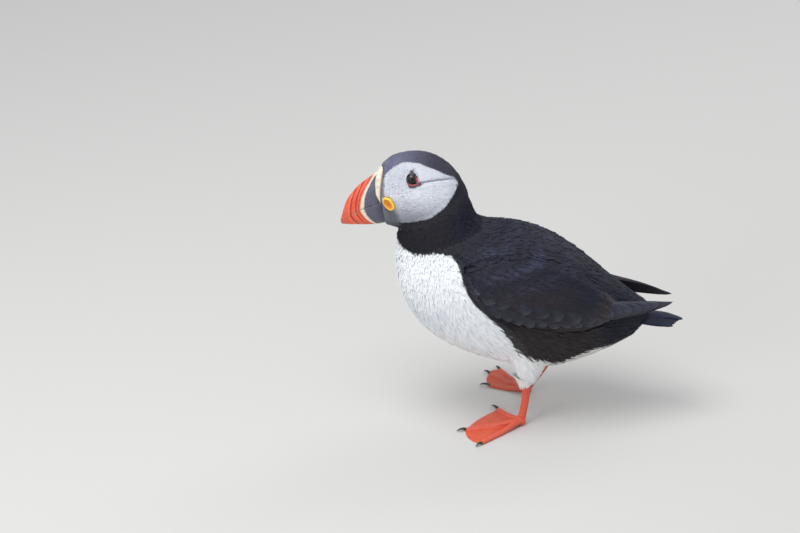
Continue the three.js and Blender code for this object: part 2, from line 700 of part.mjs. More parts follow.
function placeLeg(name, leg) {
  const footRoom = Object.values(TOES)
    .map((toe) => makeToe(leg, toe, 1.5 * PART_GAP))
    .reduce((sum, toe) => sum.add(toe), makeHeel(leg, 1.5 * PART_GAP));
  place(`thigh_${name}`, mainBody(makeThigh(leg).subtract(trunkRoom)), "white");
  place(`shank_${name}`, mainBody(makeShank(leg).subtract(footRoom)), "orange", 0.5);
  place(`foot_${name}`, makeFoot(leg), "orange", 0.5);
  for (const [toeName, toe] of Object.entries(TOES)) {
    const claw = makeClaw(leg, toe).subtract(makeToe(leg, toe, PART_GAP));
    place(`claw_${toeName}_${name}`, mainBody(claw), "claw", 0.3);
  }
}

placeTrunk();
placeHeadAndBill();
for (const [name, side] of Object.entries(sides)) {
  placeFace(name, side);
  placeWing(name, side);
  placeLeg(name, LEGS[name]);
}

// The origin is the bottom centre of the whole bird's box.
const middle = new THREE.Box3().setFromObject(bird).getCenter(new THREE.Vector3());
for (const mesh of bird.children) mesh.geometry.translate(-middle.x, -middle.y, 0);

export default bird;
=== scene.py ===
# %% [markdown]
# # An Atlantic puffin, life size
#
# This scene dresses the solid model of a puffin: it grows a skin inside the solids, lays feathers
# over it, and remakes the bill, eyes, legs and feet with the detail that plain solids leave out.
# Every shape below is given in millimetres in the bird's own frame: x runs from the bill to the
# tail, y is 0 in the bird's middle plane, and z is the height over the floor.

import math

import bmesh
import bpy
import numpy as np
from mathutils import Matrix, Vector
from mathutils.bvhtree import BVHTree


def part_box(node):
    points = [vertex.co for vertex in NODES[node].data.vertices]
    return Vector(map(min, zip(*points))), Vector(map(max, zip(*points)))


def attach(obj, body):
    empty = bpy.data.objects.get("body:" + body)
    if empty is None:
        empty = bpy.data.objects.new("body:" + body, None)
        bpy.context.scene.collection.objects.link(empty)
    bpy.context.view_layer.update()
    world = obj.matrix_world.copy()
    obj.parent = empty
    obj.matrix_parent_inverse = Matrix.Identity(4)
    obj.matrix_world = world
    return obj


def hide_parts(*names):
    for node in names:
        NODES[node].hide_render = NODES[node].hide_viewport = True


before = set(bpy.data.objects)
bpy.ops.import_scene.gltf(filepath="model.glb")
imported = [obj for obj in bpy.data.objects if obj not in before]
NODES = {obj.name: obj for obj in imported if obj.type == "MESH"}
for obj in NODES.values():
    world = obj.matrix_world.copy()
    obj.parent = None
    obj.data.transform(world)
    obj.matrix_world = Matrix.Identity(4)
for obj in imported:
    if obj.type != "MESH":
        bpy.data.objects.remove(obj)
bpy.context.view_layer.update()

# %% [markdown]
# The model's origin is under the middle of its whole box, and a foot turned outwards pulls that
# box off the bird's middle plane. The eyes tell where the plane is, so one helper turns
# millimetres of the bird into metres of the model, and another turns them back.

# %% From the bird's millimetres to the model's metres
MM = 0.001
LEFT, RIGHT = -1, 1
SIDES = {"left": LEFT, "right": RIGHT}
EYE_X, EYE_Z = -69.0, 181.4


def middle_of(node):
    low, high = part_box(node)
    return np.array((low + high) / 2)


eyes = [middle_of("eye_left"), middle_of("eye_right")]
SHIFT = np.array([eyes[0][0] / MM - EYE_X, (eyes[0][1] + eyes[1][1]) / 2 / MM, 0.0])
print("the bird's frame sits at", SHIFT.round(3), "mm")


def to_model(points):
    return (np.asarray(points, float) + SHIFT) * MM


def to_bird(points):
    return np.asarray(points, float) / MM - SHIFT

# %% [markdown]
# A few small tools follow. `unit` scales vectors to length one. `through` draws a smooth curve
# through rows of numbers, the way a flexible ruler is bent round nails. `loft` joins rings of
# points into a closed surface, which is how most of the hard parts of the bird are made.

# %% Vectors and curves
def unit(vectors):
    vectors = np.asarray(vectors, float)
    return vectors / np.maximum(np.linalg.norm(vectors, axis=-1, keepdims=True), 1e-9)


def through(rows):
    """A smooth curve through rows of numbers, as a function of places from 0 to 1."""
    rows = np.asarray(rows, float)
    slopes = np.gradient(rows, axis=0)
    last = len(rows) - 1

    def curve(places):
        at = np.clip(np.asarray(places, float), 0, 1) * last
        k = np.minimum(at.astype(int), last - 1)
        t = (at - k)[..., None]
        start, end = rows[k], rows[k + 1]
        pull, push = slopes[k], slopes[k + 1]
        return (
            start * (2 * t**3 - 3 * t**2 + 1)
            + pull * (t**3 - 2 * t**2 + t)
            + end * (3 * t**2 - 2 * t**3)
            + push * (t**3 - t**2)
        )

    return curve


def blend(low, high, value):
    """0 below low, 1 above high, and a soft step between them."""
    t = np.clip((np.asarray(value, float) - low) / (high - low), 0, 1)
    return t * t * (3 - 2 * t)


def mix(first, second, share):
    share = np.asarray(share, float)[..., None]
    return np.asarray(first) * (1 - share) + np.asarray(second) * share


def hump(value, middle, wide):
    """1 at the middle, falling off to both sides of it."""
    return np.exp(-(((value - middle) / wide) ** 2))


def nearest_on(path, places):
    """For each place: its distance from a line of points, the stretch of it, and the share along."""
    gap, stretch, share = np.full(len(places), 1e9), np.zeros(len(places), int), np.zeros(len(places))
    for k, (a, b) in enumerate(zip(path, path[1:])):
        way = np.subtract(b, a)
        t = np.clip(((places - a) @ way) / max(way @ way, 1e-9), 0, 1)
        d = np.linalg.norm(places - (a + t[:, None] * way), axis=1)
        closer = d < gap
        stretch, share = np.where(closer, k, stretch), np.where(closer, t, share)
        gap = np.minimum(gap, d)
    return gap, stretch, share


def lerp(a, b, share):
    return a + (b - a) * share


def circle(count):
    """The angles of so many places round a circle."""
    return np.arange(count) / count * 2 * math.pi


# %% Surfaces from rings of points
def loft_faces(rings, around, closed=True):
    """Faces between rings of points that lie one after the other."""
    faces = []
    for i in range(rings - 1):
        for j in range(around if closed else around - 1):
            k = (j + 1) % around
            a, b = i * around, (i + 1) * around
            faces.append((a + j, b + j, b + k, a + k))
    return faces


def loft(rings):
    """A closed surface over rings of points, each end closed on the middle of its ring."""
    rings = np.asarray(rings, float)
    count, around = rings.shape[:2]
    points = np.concatenate([rings.reshape(-1, 3), rings[[0, -1]].mean(axis=1)])
    faces = loft_faces(count, around)
    front, rear, last = count * around, count * around + 1, (count - 1) * around
    for j in range(around):
        k = (j + 1) % around
        faces.append((front, j, k))
        faces.append((rear, last + k, last + j))
    return points, faces


def make_mesh(name, points, faces):
    """A mesh from points in the bird's millimetres, with its faces turned outwards."""
    mesh = bpy.data.meshes.new(name)
    mesh.from_pydata(to_model(points).tolist(), [], faces)
    shape = bmesh.new()
    shape.from_mesh(mesh)
    bmesh.ops.recalc_face_normals(shape, faces=shape.faces)
    shape.to_mesh(mesh)
    shape.free()
    mesh.polygons.foreach_set("use_smooth", [True] * len(mesh.polygons))
    return mesh


def show(name, mesh):
    piece = bpy.data.objects.new(name, mesh)
    bpy.context.scene.collection.objects.link(piece)
    return piece


def read_points(mesh, what):
    found = np.empty(len(mesh.vertices) * 3, np.float32)
    mesh.vertices.foreach_get(what, found)
    return found.reshape(-1, 3).astype(float)


def positions(mesh):
    return read_points(mesh, "co")


def normals(mesh):
    return read_points(mesh, "normal")


def evaluated(piece):
    """A piece's mesh with its modifiers applied, as a plain mesh of its own."""
    found = piece.evaluated_get(bpy.context.evaluated_depsgraph_get())
    return bpy.data.meshes.new_from_object(found)


def join(parts):
    """One list of points and faces from several."""
    points, faces, start = [], [], 0
    for some_points, some_faces in parts:
        points.append(np.asarray(some_points, float))
        faces += [tuple(start + i for i in face) for face in some_faces]
        start += len(some_points)
    return np.concatenate(points), faces


KINDS = {  # what a stored value is called, and how many numbers it has
    "FLOAT": ("value", 1), "FLOAT_VECTOR": ("vector", 3), "FLOAT2": ("vector", 2),
    "FLOAT_COLOR": ("color", 4),
}


def set_attribute(mesh, name, kind, values):
    """Stores one value for each point under a name."""
    if name in mesh.attributes:
        mesh.attributes.remove(mesh.attributes[name])
    made = mesh.attributes.new(name, kind, "POINT")
    made.data.foreach_set(KINDS[kind][0], np.asarray(values, np.float32).ravel())


def get_attribute(mesh, name):
    found = mesh.attributes[name]
    key, width = KINDS[found.data_type]
    values = np.empty(len(found.data) * width, np.float32)
    found.data.foreach_get(key, values)
    return values.reshape(-1, width).astype(float) if width > 1 else values.astype(float)


def even_piece(name, parts, grain):
    """A piece with one even skin over closed parts that run into each other."""
    piece = show(name, make_mesh(name, *join(parts)))
    remesh = piece.modifiers.new("even", "REMESH")
    remesh.mode = "VOXEL"
    remesh.voxel_size = grain * MM
    piece.data = evaluated(piece)
    piece.modifiers.clear()
    return piece

# %% [markdown]
# ## Markings
#
# A puffin's pattern is simple from the side: a pale face inside a dark cap and collar, a white
# breast and belly, and black everywhere else. Each patch is a short outline on the bird's side,
# and one function tells the colour of the plumage at any place. The skin and the feathers both
# ask that function, so they always agree.

# %% Outlines of the patches, as (x, z) on the side of the bird
FACE_PATCH = [
    (-95, 176), (-87.4, 180.5), (-85.4, 184.1), (-80.6, 188.4), (-75.2, 191), (-70.4, 191.6), (-63.6, 190.9),
    (-56.8, 188.6), (-50, 185.4), (-43.2, 181.7), (-37.4, 178.2), (-38.3, 175.2), (-40.4, 171.3),
    (-43.8, 165.8), (-47.2, 161.3), (-50.6, 158.5), (-54, 155.8), (-57.4, 153.9), (-63.6, 151.7),
    (-70.4, 150.3), (-78, 149), (-95, 148),
]
CHIN_PATCH = [(-95, 163), (-87, 162.6), (-81, 161), (-77.4, 156), (-76, 150), (-78, 143), (-95, 143)]
WHITE_PATCH = [
    (-90, 134.2), (-79.3, 133.6), (-77.9, 132.5), (-73.8, 130.2), (-69, 128.8), (-63.6, 128.9),
    (-56.8, 130.5), (-49.9, 131.6), (-41.8, 130.6), (-37.6, 126.4), (-33.6, 119), (-29, 107),
    (-19.3, 96), (-12.3, 88.2), (-6.4, 80.6), (-0.4, 71.5), (3.9, 63), (9.8, 56.3), (16.7, 53.6),
    (25, 49.7), (32, 47.5), (38, 51.2), (45, 54.4), (54, 57), (62, 59.6), (68, 58.4), (80, 52), (80, 0),
    (-100, 0),
]


# %% Colours as a painter would mix them, in display values
def paint(red, green, blue):
    """A colour given in display values from 0 to 255, as the linear light that shaders use."""
    shown = np.array([red, green, blue]) / 255
    return np.where(shown <= 0.04045, shown / 12.92, ((shown + 0.055) / 1.055) ** 2.4)


INK = paint(26, 28, 41)  # back and mantle
SOOT = paint(28, 28, 35)  # collar
# the cap's own grey-violet, lighter at the front partly as a painted highlight on the forehead
CAP_FRONT = paint(112, 112, 136)
CAP_REAR = paint(54, 54, 68)
FACE = paint(206, 209, 219)
CHEEK_SHADE = paint(150, 153, 163)
CHEEK_LIGHT = paint(226, 230, 238)
CHIN = paint(96, 99, 108)
SNOW = paint(238, 241, 245)
CREAM_DOWN = paint(220, 214, 203)
BLUE_SHADE = paint(205, 214, 226)
FLANK = paint(46, 42, 44)
WORN = paint(46, 40, 42)  # sun-bleached wing coverts
STEEL_SHEEN = paint(44, 48, 64)  # flight feathers: their own dark blue-grey, lightened by a painted sheen
PALE_COVERT = paint(98, 102, 116)
BROWN_WEAR_AND_SHADE = paint(38, 31, 32)  # worn ends of the loose feathers behind the arm, and painted shade on the right wing's primaries
TAIL_BLUE = paint(22, 28, 50)
VIOLET_SHEEN = paint(62, 62, 86)  # painted sheen: soft violet streaks of gloss on the mantle
WEDGE_GREY_AND_SHADOW = paint(104, 104, 130)  # the grey between the bill's base and the face, and a painted shadow line down the face's front edge
CREASE_SHADE = paint(92, 92, 106)


# %% How far a place is inside an outline
def inside(outline, x, z):
    """Millimetres from the outline, positive inside it and negative outside."""
    closed = [*outline, outline[0]]
    gap, _, _ = nearest_on(closed, np.stack([x, z], axis=-1))
    crossings = np.zeros(len(x), int)
    for (ax, az), (bx, bz) in zip(closed, closed[1:]):
        rise = bz - az if bz != az else 1e-9
        crossings += ((az > z) != (bz > z)) & (x < ax + (z - az) / rise * (bx - ax))
    return np.where(crossings % 2 == 1, gap, -gap)


def spot(x, z, centre, across, down):
    """1 at the centre of a soft oval patch, falling to 0 well outside it."""
    return np.exp(-(((x - centre[0]) / across) ** 2) - ((z - centre[1]) / down) ** 2)


# %% The colour of the plumage at any place
def plumage(points):
    """Linear colours for an array of places in the bird's millimetres."""
    x, y, z = np.asarray(points, float).T
    colour = np.tile(INK, (len(x), 1))
    colour = mix(colour, SOOT, blend(-30, -48, x) * blend(120, 128, z))
    colour = mix(colour, WORN, 0.75 * spot(x, z, (12, 103), 34, 12) * blend(30, 38, np.abs(y)))
    # painted sheen: soft violet streaks of gloss over the mantle
    sheen_streak = np.sin(0.2 * x + 0.56 * z + 2.1 * np.sin(0.09 * x + 0.21 * z) + 0.9 * np.sin(0.31 * x)) ** 2
    sheen_streak *= 0.5 + 0.5 * np.sin(0.17 * x - 0.29 * z + 1.8 * np.sin(0.13 * z + 0.05 * x))
    colour = mix(colour, VIOLET_SHEEN, 0.75 * sheen_streak * spot(x, z, (0, 126), 34, 17) * blend(-34, -20, x))

    # the cap is lighter at the front, partly a painted highlight on the forehead
    cap = mix(CAP_FRONT, CAP_REAR, blend(-84, -50, x))
    colour = mix(colour, cap, blend(-36, -42, x) * blend(172, 178, z + 0.25 * (x + 40)))

    face = mix(FACE, CHEEK_SHADE, blend(168, 150, z + 0.12 * (x + 60)))
    face = mix(face, CHEEK_LIGHT, 0.8 * spot(x, z, (-66, 173), 11, 5))
    face = mix(face, CHEEK_LIGHT, 0.5 * spot(x, z, (-46, 172), 7, 7))
    gap = np.abs(z - np.interp(x, [-66, -58, -51, -44, -38], [179.0, 180.3, 181.0, 180.4, 178.6]))
    fade = blend(-66, -63, x) * blend(-36, -46, x)
    face = mix(face, CREASE_SHADE, 0.85 * hump(gap, 0, 0.75) * fade)
    colour = mix(colour, WEDGE_GREY_AND_SHADOW, blend(-79, -86, x) * blend(176, 180, z) * (np.abs(y) > 4))
    # painted shadow: a thin grey line down the front edge of the face, beside the cream rim
    face = mix(face, WEDGE_GREY_AND_SHADOW, 0.8 * blend(-87, -87.8, x) * blend(164, 167, z))
    nape = blend(-62, -54, x) * blend(8.5, 6, np.abs(y))
    colour = mix(colour, face, blend(-0.35, 0.35, inside(FACE_PATCH, x, z)) * (1 - nape))
    colour = mix(colour, CHIN, 0.85 * blend(-1.5, 2.5, inside(CHIN_PATCH, x, z)))

    side = blend(20, 32, np.abs(y))
    flank = mix(INK, FLANK, blend(100, 84, z))
    colour = mix(colour, flank, blend(-12, 4, x) * blend(96, 84, z) * blend(66, 52, x))
    white = mix(SNOW, CREAM_DOWN, 0.6 * blend(-5, 40, x) + 0.3 * spot(x, z, (-30, 60), 25, 18) * (1 - side))
    white = mix(white, BLUE_SHADE, 0.35 * spot(x, z, (-52, 84), 16, 10))
    ragged = 1.8 * np.sin(x * 1.9 + z * 0.7) * np.sin(x * 0.83 - z * 1.3) * blend(-20, 0, x)
    under = blend(16, 6, np.abs(y)) * blend(55, 48, z - 0.2 * np.maximum(x - 30, 0))
    open_white = blend(-0.8, 0.8, inside(WHITE_PATCH, x, z) + ragged)
    return mix(colour, white, np.maximum(open_white, under * blend(80, 66, x)))


print("markings: the breast is", plumage([[-75.0, 0.0, 110.0]]).round(2)[0])

# %% [markdown]
# ## Skin
#
# The solids stand for the bird with its feathers on. The skin lies inside them by the depth of
# the coat: hardly a millimetre on the face, and almost three on the belly. Copies of the fleshy
# nodes are swollen until they run into each other, remade as one even mesh, smoothed so that no
# facet or joint shows, and then drawn inwards by the coat's depth.

# %% How deep the coat is on each fleshy node
COAT_DEPTH = {
    "head": 1.0, "neck": 1.9, "back": 2.4, "belly": 2.6, "tail": 2.2,
    "wing_left": 1.5, "wing_right": 1.5, "thigh_left": 2.6, "thigh_right": 2.6,
}
SMOOTHINGS, STEP_IN, STEP_OUT = 7, 0.6, 0.62
SWELL = 0.45  # what the copies grow so that the gaps between the nodes close
SKIN_GRAIN = 1.15  # the size of the skin's faces
RUMP_END = 83.0  # flesh ends here, and only feathers go on
SOCKET_RADIUS, SOCKET_SUNK = 4.8, 2.6


# %% Copies of the fleshy nodes in one mesh
def grown_copy(node):
    """A node's points and faces, merged, cut at the rump and grown by SWELL."""
    shape = bmesh.new()
    shape.from_mesh(NODES[node].data)
    bmesh.ops.remove_doubles(shape, verts=shape.verts, dist=1e-6)
    if node == "tail":
        place = to_model([[RUMP_END, 0, 0]])[0]
        everything = shape.verts[:] + shape.edges[:] + shape.faces[:]
        bmesh.ops.bisect_plane(shape, geom=everything, plane_co=place, plane_no=(1, 0, 0), clear_outer=True)
        bmesh.ops.holes_fill(shape, edges=[e for e in shape.edges if e.is_boundary])
    shape.normal_update()
    shape.verts.index_update()
    points = to_bird([v.co + v.normal * SWELL * MM for v in shape.verts])
    faces = [tuple(v.index for v in f.verts) for f in shape.faces]
    shape.free()
    return points, faces


def ball(centre, radius, rings=10, around=16):
    """A round ball, as rings round its x axis."""
    turn = circle(around)
    rows = []
    for a in np.linspace(0.02, math.pi - 0.02, rings):
        across, up = math.sin(a) * np.cos(turn), math.sin(a) * np.sin(turn)
        ring = np.stack([np.full(around, -math.cos(a)), across, up], 1)
        rows.append(np.asarray(centre) + ring * radius)
    return loft(rows)


def socket_filling(name, side):
    """A ball that fills the socket of an eye, so that the skin runs on under it."""
    return ball(middle_of(f"eye_{name}") / MM - SHIFT - [0, side * SOCKET_SUNK, 0], SOCKET_RADIUS)


flesh = [grown_copy(node) for node in COAT_DEPTH] + [socket_filling(*eye) for eye in SIDES.items()]
skin = even_piece("skin", flesh, SKIN_GRAIN)
print("skin:", len(skin.data.vertices), "points after remeshing")


# %% Smooth the skin and draw it in by the coat's depth
def edges_of(mesh):
    found = np.empty(len(mesh.edges) * 2, np.int64)
    mesh.edges.foreach_get("vertices", found)
    return found.reshape(-1, 2)


def relax(values, edges, times, share=0.5):
    """Moves each value towards the mean of its neighbours, which wears off facets."""
    values = np.array(values, float)
    flat = values.reshape(len(values), -1)
    ends = np.concatenate([edges[:, 0], edges[:, 1]])
    starts = np.concatenate([edges[:, 1], edges[:, 0]])
    count = np.maximum(np.bincount(ends, minlength=len(flat)), 1)
    for _ in range(times):
        for k in range(flat.shape[1]):
            mean = np.bincount(ends, weights=flat[starts, k], minlength=len(flat)) / count
            flat[:, k] += share * (mean - flat[:, k])
    return flat.reshape(values.shape)


def set_positions(mesh, points):
    mesh.vertices.foreach_set("co", np.asarray(points, np.float32).ravel())
    mesh.update()


def tree_of(names):
    """A search tree over several nodes, with the name of the node behind each face."""
    points, faces, owners = [], [], []
    for name in names:
        data = NODES[name].data
        start = len(points)
        points += [v.co.copy() for v in data.vertices]
        faces += [[start + i for i in p.vertices] for p in data.polygons]
        owners += [name] * len(data.polygons)
    return BVHTree.FromPolygons(points, faces), np.array(owners)


FLESH_TREE, FLESH_OWNER = tree_of(COAT_DEPTH)
BARE_TREE, _ = tree_of(n for n in NODES if n.startswith(("bill", "rosette", "eye")))


def owner_of(points):
    """The name of the fleshy node that each place of the model belongs to."""
    return FLESH_OWNER[[FLESH_TREE.find_nearest(Vector(p))[2] for p in points]]


def gap_to(tree, points):
    """Millimetres from each place of the model to the nearest face of a tree."""
    return np.array([tree.find_nearest(Vector(p))[3] for p in points]) / MM


mesh = skin.data
edges = edges_of(mesh)
smooth = positions(mesh)
for _ in range(SMOOTHINGS):  # out again after each step in, so that nothing shrinks
    smooth = relax(smooth, edges, 1, STEP_IN)
    smooth = relax(smooth, edges, 1, -STEP_OUT)
set_positions(mesh, relax(smooth, edges, 2, 0.5))
owners = owner_of(positions(mesh))
depth = relax([COAT_DEPTH[o] for o in owners], edges, 6)
depth *= 0.35 + 0.65 * blend(0.5, 6, gap_to(BARE_TREE, positions(mesh)))
inward = relax(normals(mesh), edges, 3)
set_positions(mesh, positions(mesh) - unit(inward) * (depth + SWELL)[:, None] * MM)
set_positions(mesh, relax(positions(mesh), edges, 2, 0.4))
print("skin drawn in by", depth.min().round(2), "to", depth.max().round(2), "mm")


# %% Folds of the face: the crease behind the eye and the lids' hollow
CREASE = [(-63.5, 179.2), (-58, 180.3), (-51, 181.0), (-44, 180.4), (-38.5, 178.6)]


def fold_face(points, outward):
    """Sinks the crease, and lifts the soft brow over it."""
    x, y, z = to_bird(points).T
    gap, stretch, share = nearest_on(CREASE, np.stack([x, z], 1))
    fade = blend(1.0, 0.55, (stretch + share) / (len(CREASE) - 1)) * (np.abs(y) > 4)
    below = z < np.interp(x, *np.array(CREASE).T)
    sunk = -0.95 * hump(gap, 0, 0.9) * fade
    lifted = 0.35 * hump(gap, 2.4, 1.6) * fade * np.where(below, 1, 0.6)
    return points + outward * ((sunk + lifted) * MM)[:, None]


set_positions(mesh, fold_face(positions(mesh), normals(mesh)))

# %% [markdown]
# The coat's patches of texture are placed by an unwrap of the skin itself. Blender's own
# projection by angle does that well on a body that has no natural seams.

# %% Unwrap the skin, and keep what the feathers will ask of it
bpy.context.view_layer.objects.active = skin
skin.select_set(True)
bpy.ops.object.mode_set(mode="EDIT")
bpy.ops.mesh.select_all(action="SELECT")
bpy.ops.uv.smart_project(angle_limit=math.radians(66), island_margin=0.002)
bpy.ops.object.mode_set(mode="OBJECT")
skin.select_set(False)
mesh = skin.data
mesh.uv_layers[0].name = "OFBake"
mesh.polygons.foreach_set("use_smooth", [True] * len(mesh.polygons))
SKIN_POINTS = positions(mesh)
SKIN_BIRD = to_bird(SKIN_POINTS)
SKIN_NORMALS = normals(mesh)
SKIN_OWNER = owner_of(SKIN_POINTS)
SKIN_BARE_GAP = gap_to(BARE_TREE, SKIN_POINTS)
set_attribute(mesh, "skin_normal", "FLOAT_VECTOR", SKIN_NORMALS)
set_attribute(mesh, "depth", "FLOAT", relax(depth, edges, 2))
set_attribute(mesh, "tint", "FLOAT_COLOR", np.column_stack([plumage(SKIN_BIRD), np.ones(len(SKIN_BIRD))]))
print("skin unwrapped:", len(mesh.polygons), "faces")

# %% [markdown]
# ## Finishes
#
# A few effects are shared by many materials: the fine barbs of a vane, the grain of horn, and
# the small scales of bare skin. Each is a node group that is built once. A group puts out only
# colours, masks and heights, and the Principled shader stays in the material itself.

# %% Helpers for node trees
FLOAT, COLOR = "NodeSocketFloat", "NodeSocketColor"
FULL_TURN = 6.283


def add_node(tree, kind, inputs=None, **settings):
    """Adds a node. An input's key is its name or number, its value a number, colour or socket."""
    made = tree.nodes.new(kind)
    for key, value in settings.items():
        setattr(made, key, value)
    for key, value in (inputs or {}).items():
        if isinstance(value, bpy.types.NodeSocket):
            tree.links.new(value, made.inputs[key])
        elif isinstance(value, np.ndarray):
            made.inputs[key].default_value = (*value, 1.0)
        else:
            made.inputs[key].default_value = value
    return made


def maths(tree, operation, *values, clamp=False):
    inputs = dict(enumerate(values))
    return add_node(tree, "ShaderNodeMath", inputs, operation=operation, use_clamp=clamp).outputs[0]


def times(tree, first, second):
    return maths(tree, "MULTIPLY", first, second)


def minus(tree, first, second):
    return maths(tree, "SUBTRACT", first, second)


def vector_maths(tree, operation, *values):
    return add_node(tree, "ShaderNodeVectorMath", dict(enumerate(values)), operation=operation).outputs[0]


def mix_colour(tree, share, first, second):
    return add_node(tree, "ShaderNodeMix", {0: share, 6: first, 7: second}, data_type="RGBA").outputs[2]


def ramp(tree, value, low, high, to_low=0.0, to_high=1.0):
    """A smooth step from one value to another as the input goes from low to high."""
    inputs = {0: value, 1: low, 2: high, 3: to_low, 4: to_high}
    made = add_node(tree, "ShaderNodeMapRange", inputs, interpolation_type="SMOOTHSTEP", clamp=True)
    return made.outputs[0]


def own_map(tree, name):
    return add_node(tree, "ShaderNodeUVMap", uv_map=name).outputs[0]


def stored(tree, name, output="Fac"):
    """What the points of a piece hold under a name."""
    return add_node(tree, "ShaderNodeAttribute", attribute_name=name).outputs[output]


def object_place(tree):
    return add_node(tree, "ShaderNodeTexCoord").outputs["Object"]


def apart(tree, vector):
    return add_node(tree, "ShaderNodeSeparateXYZ", {0: vector}).outputs


def together(tree, *values):
    return add_node(tree, "ShaderNodeCombineXYZ", dict(enumerate(values))).outputs[0]


def toned(tree, colour, tone):
    """A colour made lighter or darker, where a tone of 1 keeps it."""
    return vector_maths(tree, "MULTIPLY", colour, together(tree, tone, tone, tone))


def noise(tree, where, scale, detail, roughness=0.5):
    inputs = {"Vector": where, "Scale": scale, "Detail": detail, "Roughness": roughness}
    return add_node(tree, "ShaderNodeTexNoise", inputs).outputs[0]


def net_of_cells(tree, where, scale, feature="DISTANCE_TO_EDGE"):
    """Small cells. Its value is the distance from their edges, or from their middles by F1."""
    inputs = {"Vector": where, "Scale": scale}
    return add_node(tree, "ShaderNodeTexVoronoi", inputs, feature=feature).outputs["Distance"]


def place_group(tree, group, inputs):
    return add_node(tree, "ShaderNodeGroup", inputs, node_tree=group).outputs


def new_group(name, inputs, outputs, kind="ShaderNodeTree"):
    """A node group with named inputs, given as name: (socket type, value), and named outputs."""
    tree = bpy.data.node_groups.new(name, kind)
    for label, (socket, value) in inputs.items():
        made = tree.interface.new_socket(label, in_out="INPUT", socket_type=socket)
        if value is not None:
            made.default_value = value
    for label, socket in outputs.items():
        tree.interface.new_socket(label, in_out="OUTPUT", socket_type=socket)
    return tree, tree.nodes.new("NodeGroupInput").outputs, tree.nodes.new("NodeGroupOutput").inputs


# %% A material that waits for its own nodes
def new_material(name, roughness, **plain):
    """A material with a Principled shader. Plain settings are given as its sockets' names."""
    material = bpy.data.materials.new(name)
    material.use_nodes = True
    shader = material.node_tree.nodes["Principled BSDF"]
    shader.inputs["Roughness"].default_value = roughness
    for key, value in plain.items():
        shader.inputs[key.replace("_", " ")].default_value = value
    return material, material.node_tree, shader


def cover(tree, shader, colour, height, strength, distance=0.0002):
    """Gives a shader its colour, and a fine relief from a height."""
    tree.links.new(colour, shader.inputs["Base Color"])
    made = add_node(tree, "ShaderNodeBump", {"Height": height, "Strength": strength, "Distance": distance})
    tree.links.new(made.outputs["Normal"], shader.inputs["Normal"])


# %% The barbs of a vane, as a group
def make_barb_group():
    """Colour and height of one feather, read from the map that runs across and along its vane."""
    grey = (COLOR, (0.5, 0.5, 0.5, 1))
    numbers = {"Fringe": 0.3, "Barbs": 40.0, "Depth": 0.25, "Shaft": 0.2, "Vary": 0.24, "Root Shade": 0.72}
    tree, given, out = new_group(
        "Barbs of a vane",
        {"Tint": grey, "Fringe Tint": grey, **{key: (FLOAT, value) for key, value in numbers.items()}},
        {"Color": COLOR, "Height": FLOAT},
    )
    vane = own_map(tree, "vane")
    across, along, _ = apart(tree, vane)
    across = maths(tree, "ABSOLUTE", minus(tree, across, 0.5))
    slant = minus(tree, along, times(tree, across, 0.7))
    wave = maths(tree, "SINE", times(tree, slant, times(tree, given["Barbs"], FULL_TURN)))
    lines = times(tree, maths(tree, "MULTIPLY_ADD", wave, 0.5, 0.5), noise(tree, vane, 7.0, 3.0))
    shaft = ramp(tree, across, 0.0, 0.05, 1.0, 0.0)
    edge = maths(tree, "MAXIMUM", ramp(tree, across, 0.30, 0.5), ramp(tree, along, 0.8, 1.0))
    steady = minus(tree, 1.0, given["Vary"])
    tone = maths(tree, "MULTIPLY_ADD", stored(tree, "chance"), given["Vary"], steady)
    tone = maths(tree, "MULTIPLY_ADD", lines, given["Depth"], tone)
    # painted shade: each vane is darkened towards its root, where the vanes over it would shade it
    tone = times(tree, tone, ramp(tree, along, 0.1, 0.65, given["Root Shade"], 1.0))
    tone = maths(tree, "MULTIPLY_ADD", times(tree, shaft, given["Shaft"]), 0.6, tone)
    fringe = times(tree, edge, given["Fringe"])
    shaded = toned(tree, given["Tint"], tone)
    tree.links.new(mix_colour(tree, fringe, shaded, given["Fringe Tint"]), out["Color"])
    tree.links.new(maths(tree, "ADD", lines, times(tree, shaft, 0.8)), out["Height"])
    return tree


BARBS = make_barb_group()


def feather_material(
    name, fringe, roughness, barbs, share, depth, shaft, vary, root=0.72, relief=0.3, **plain
):
    """A vane's finish: its stored tint with a share of fringe at the edge, painted shade towards its root,
    and barbs along it.
    """
    material, tree, shader = new_material(name, roughness, **plain)
    tint = stored(tree, "tint", "Color")
    found = place_group(tree, BARBS, {
        "Tint": tint, "Fringe Tint": mix_colour(tree, 0.5, tint, fringe), "Fringe": share, "Barbs": barbs,
        "Depth": depth, "Shaft": shaft, "Vary": vary, "Root Shade": root,
    })
    cover(tree, shader, found["Color"], found["Height"], relief, 0.00012)
    return material


DOWN_WHITE = feather_material(
    "white down", paint(250, 250, 250), 0.85, barbs=14, share=0.15, depth=0.07, shaft=0.05, vary=0.07,
    root=0.9, relief=0.12,
)
FACE_VELVET = feather_material(
    "face velvet", paint(225, 228, 235), 0.9, barbs=9, share=0.1, depth=0.06, shaft=0.03, vary=0.05,
    root=0.94, relief=0.1,
)
INKY = feather_material(
    "inky body feathers", paint(66, 70, 94), 0.6, barbs=26, share=0.28, depth=0.35, shaft=0.2, vary=0.25,
    Specular_IOR_Level=0.25,
)
COLLAR = feather_material(
    "collar feathers", paint(58, 58, 70), 0.75, barbs=20, share=0.2, depth=0.2, shaft=0.1, vary=0.12,
    root=0.85, relief=0.15, Specular_IOR_Level=0.2,
)
FLIGHT = feather_material(
    "flight feathers", paint(104, 104, 120), 0.45, barbs=95, share=0.35, depth=0.4, shaft=0.9, vary=0.2,
    Specular_IOR_Level=0.35,
)
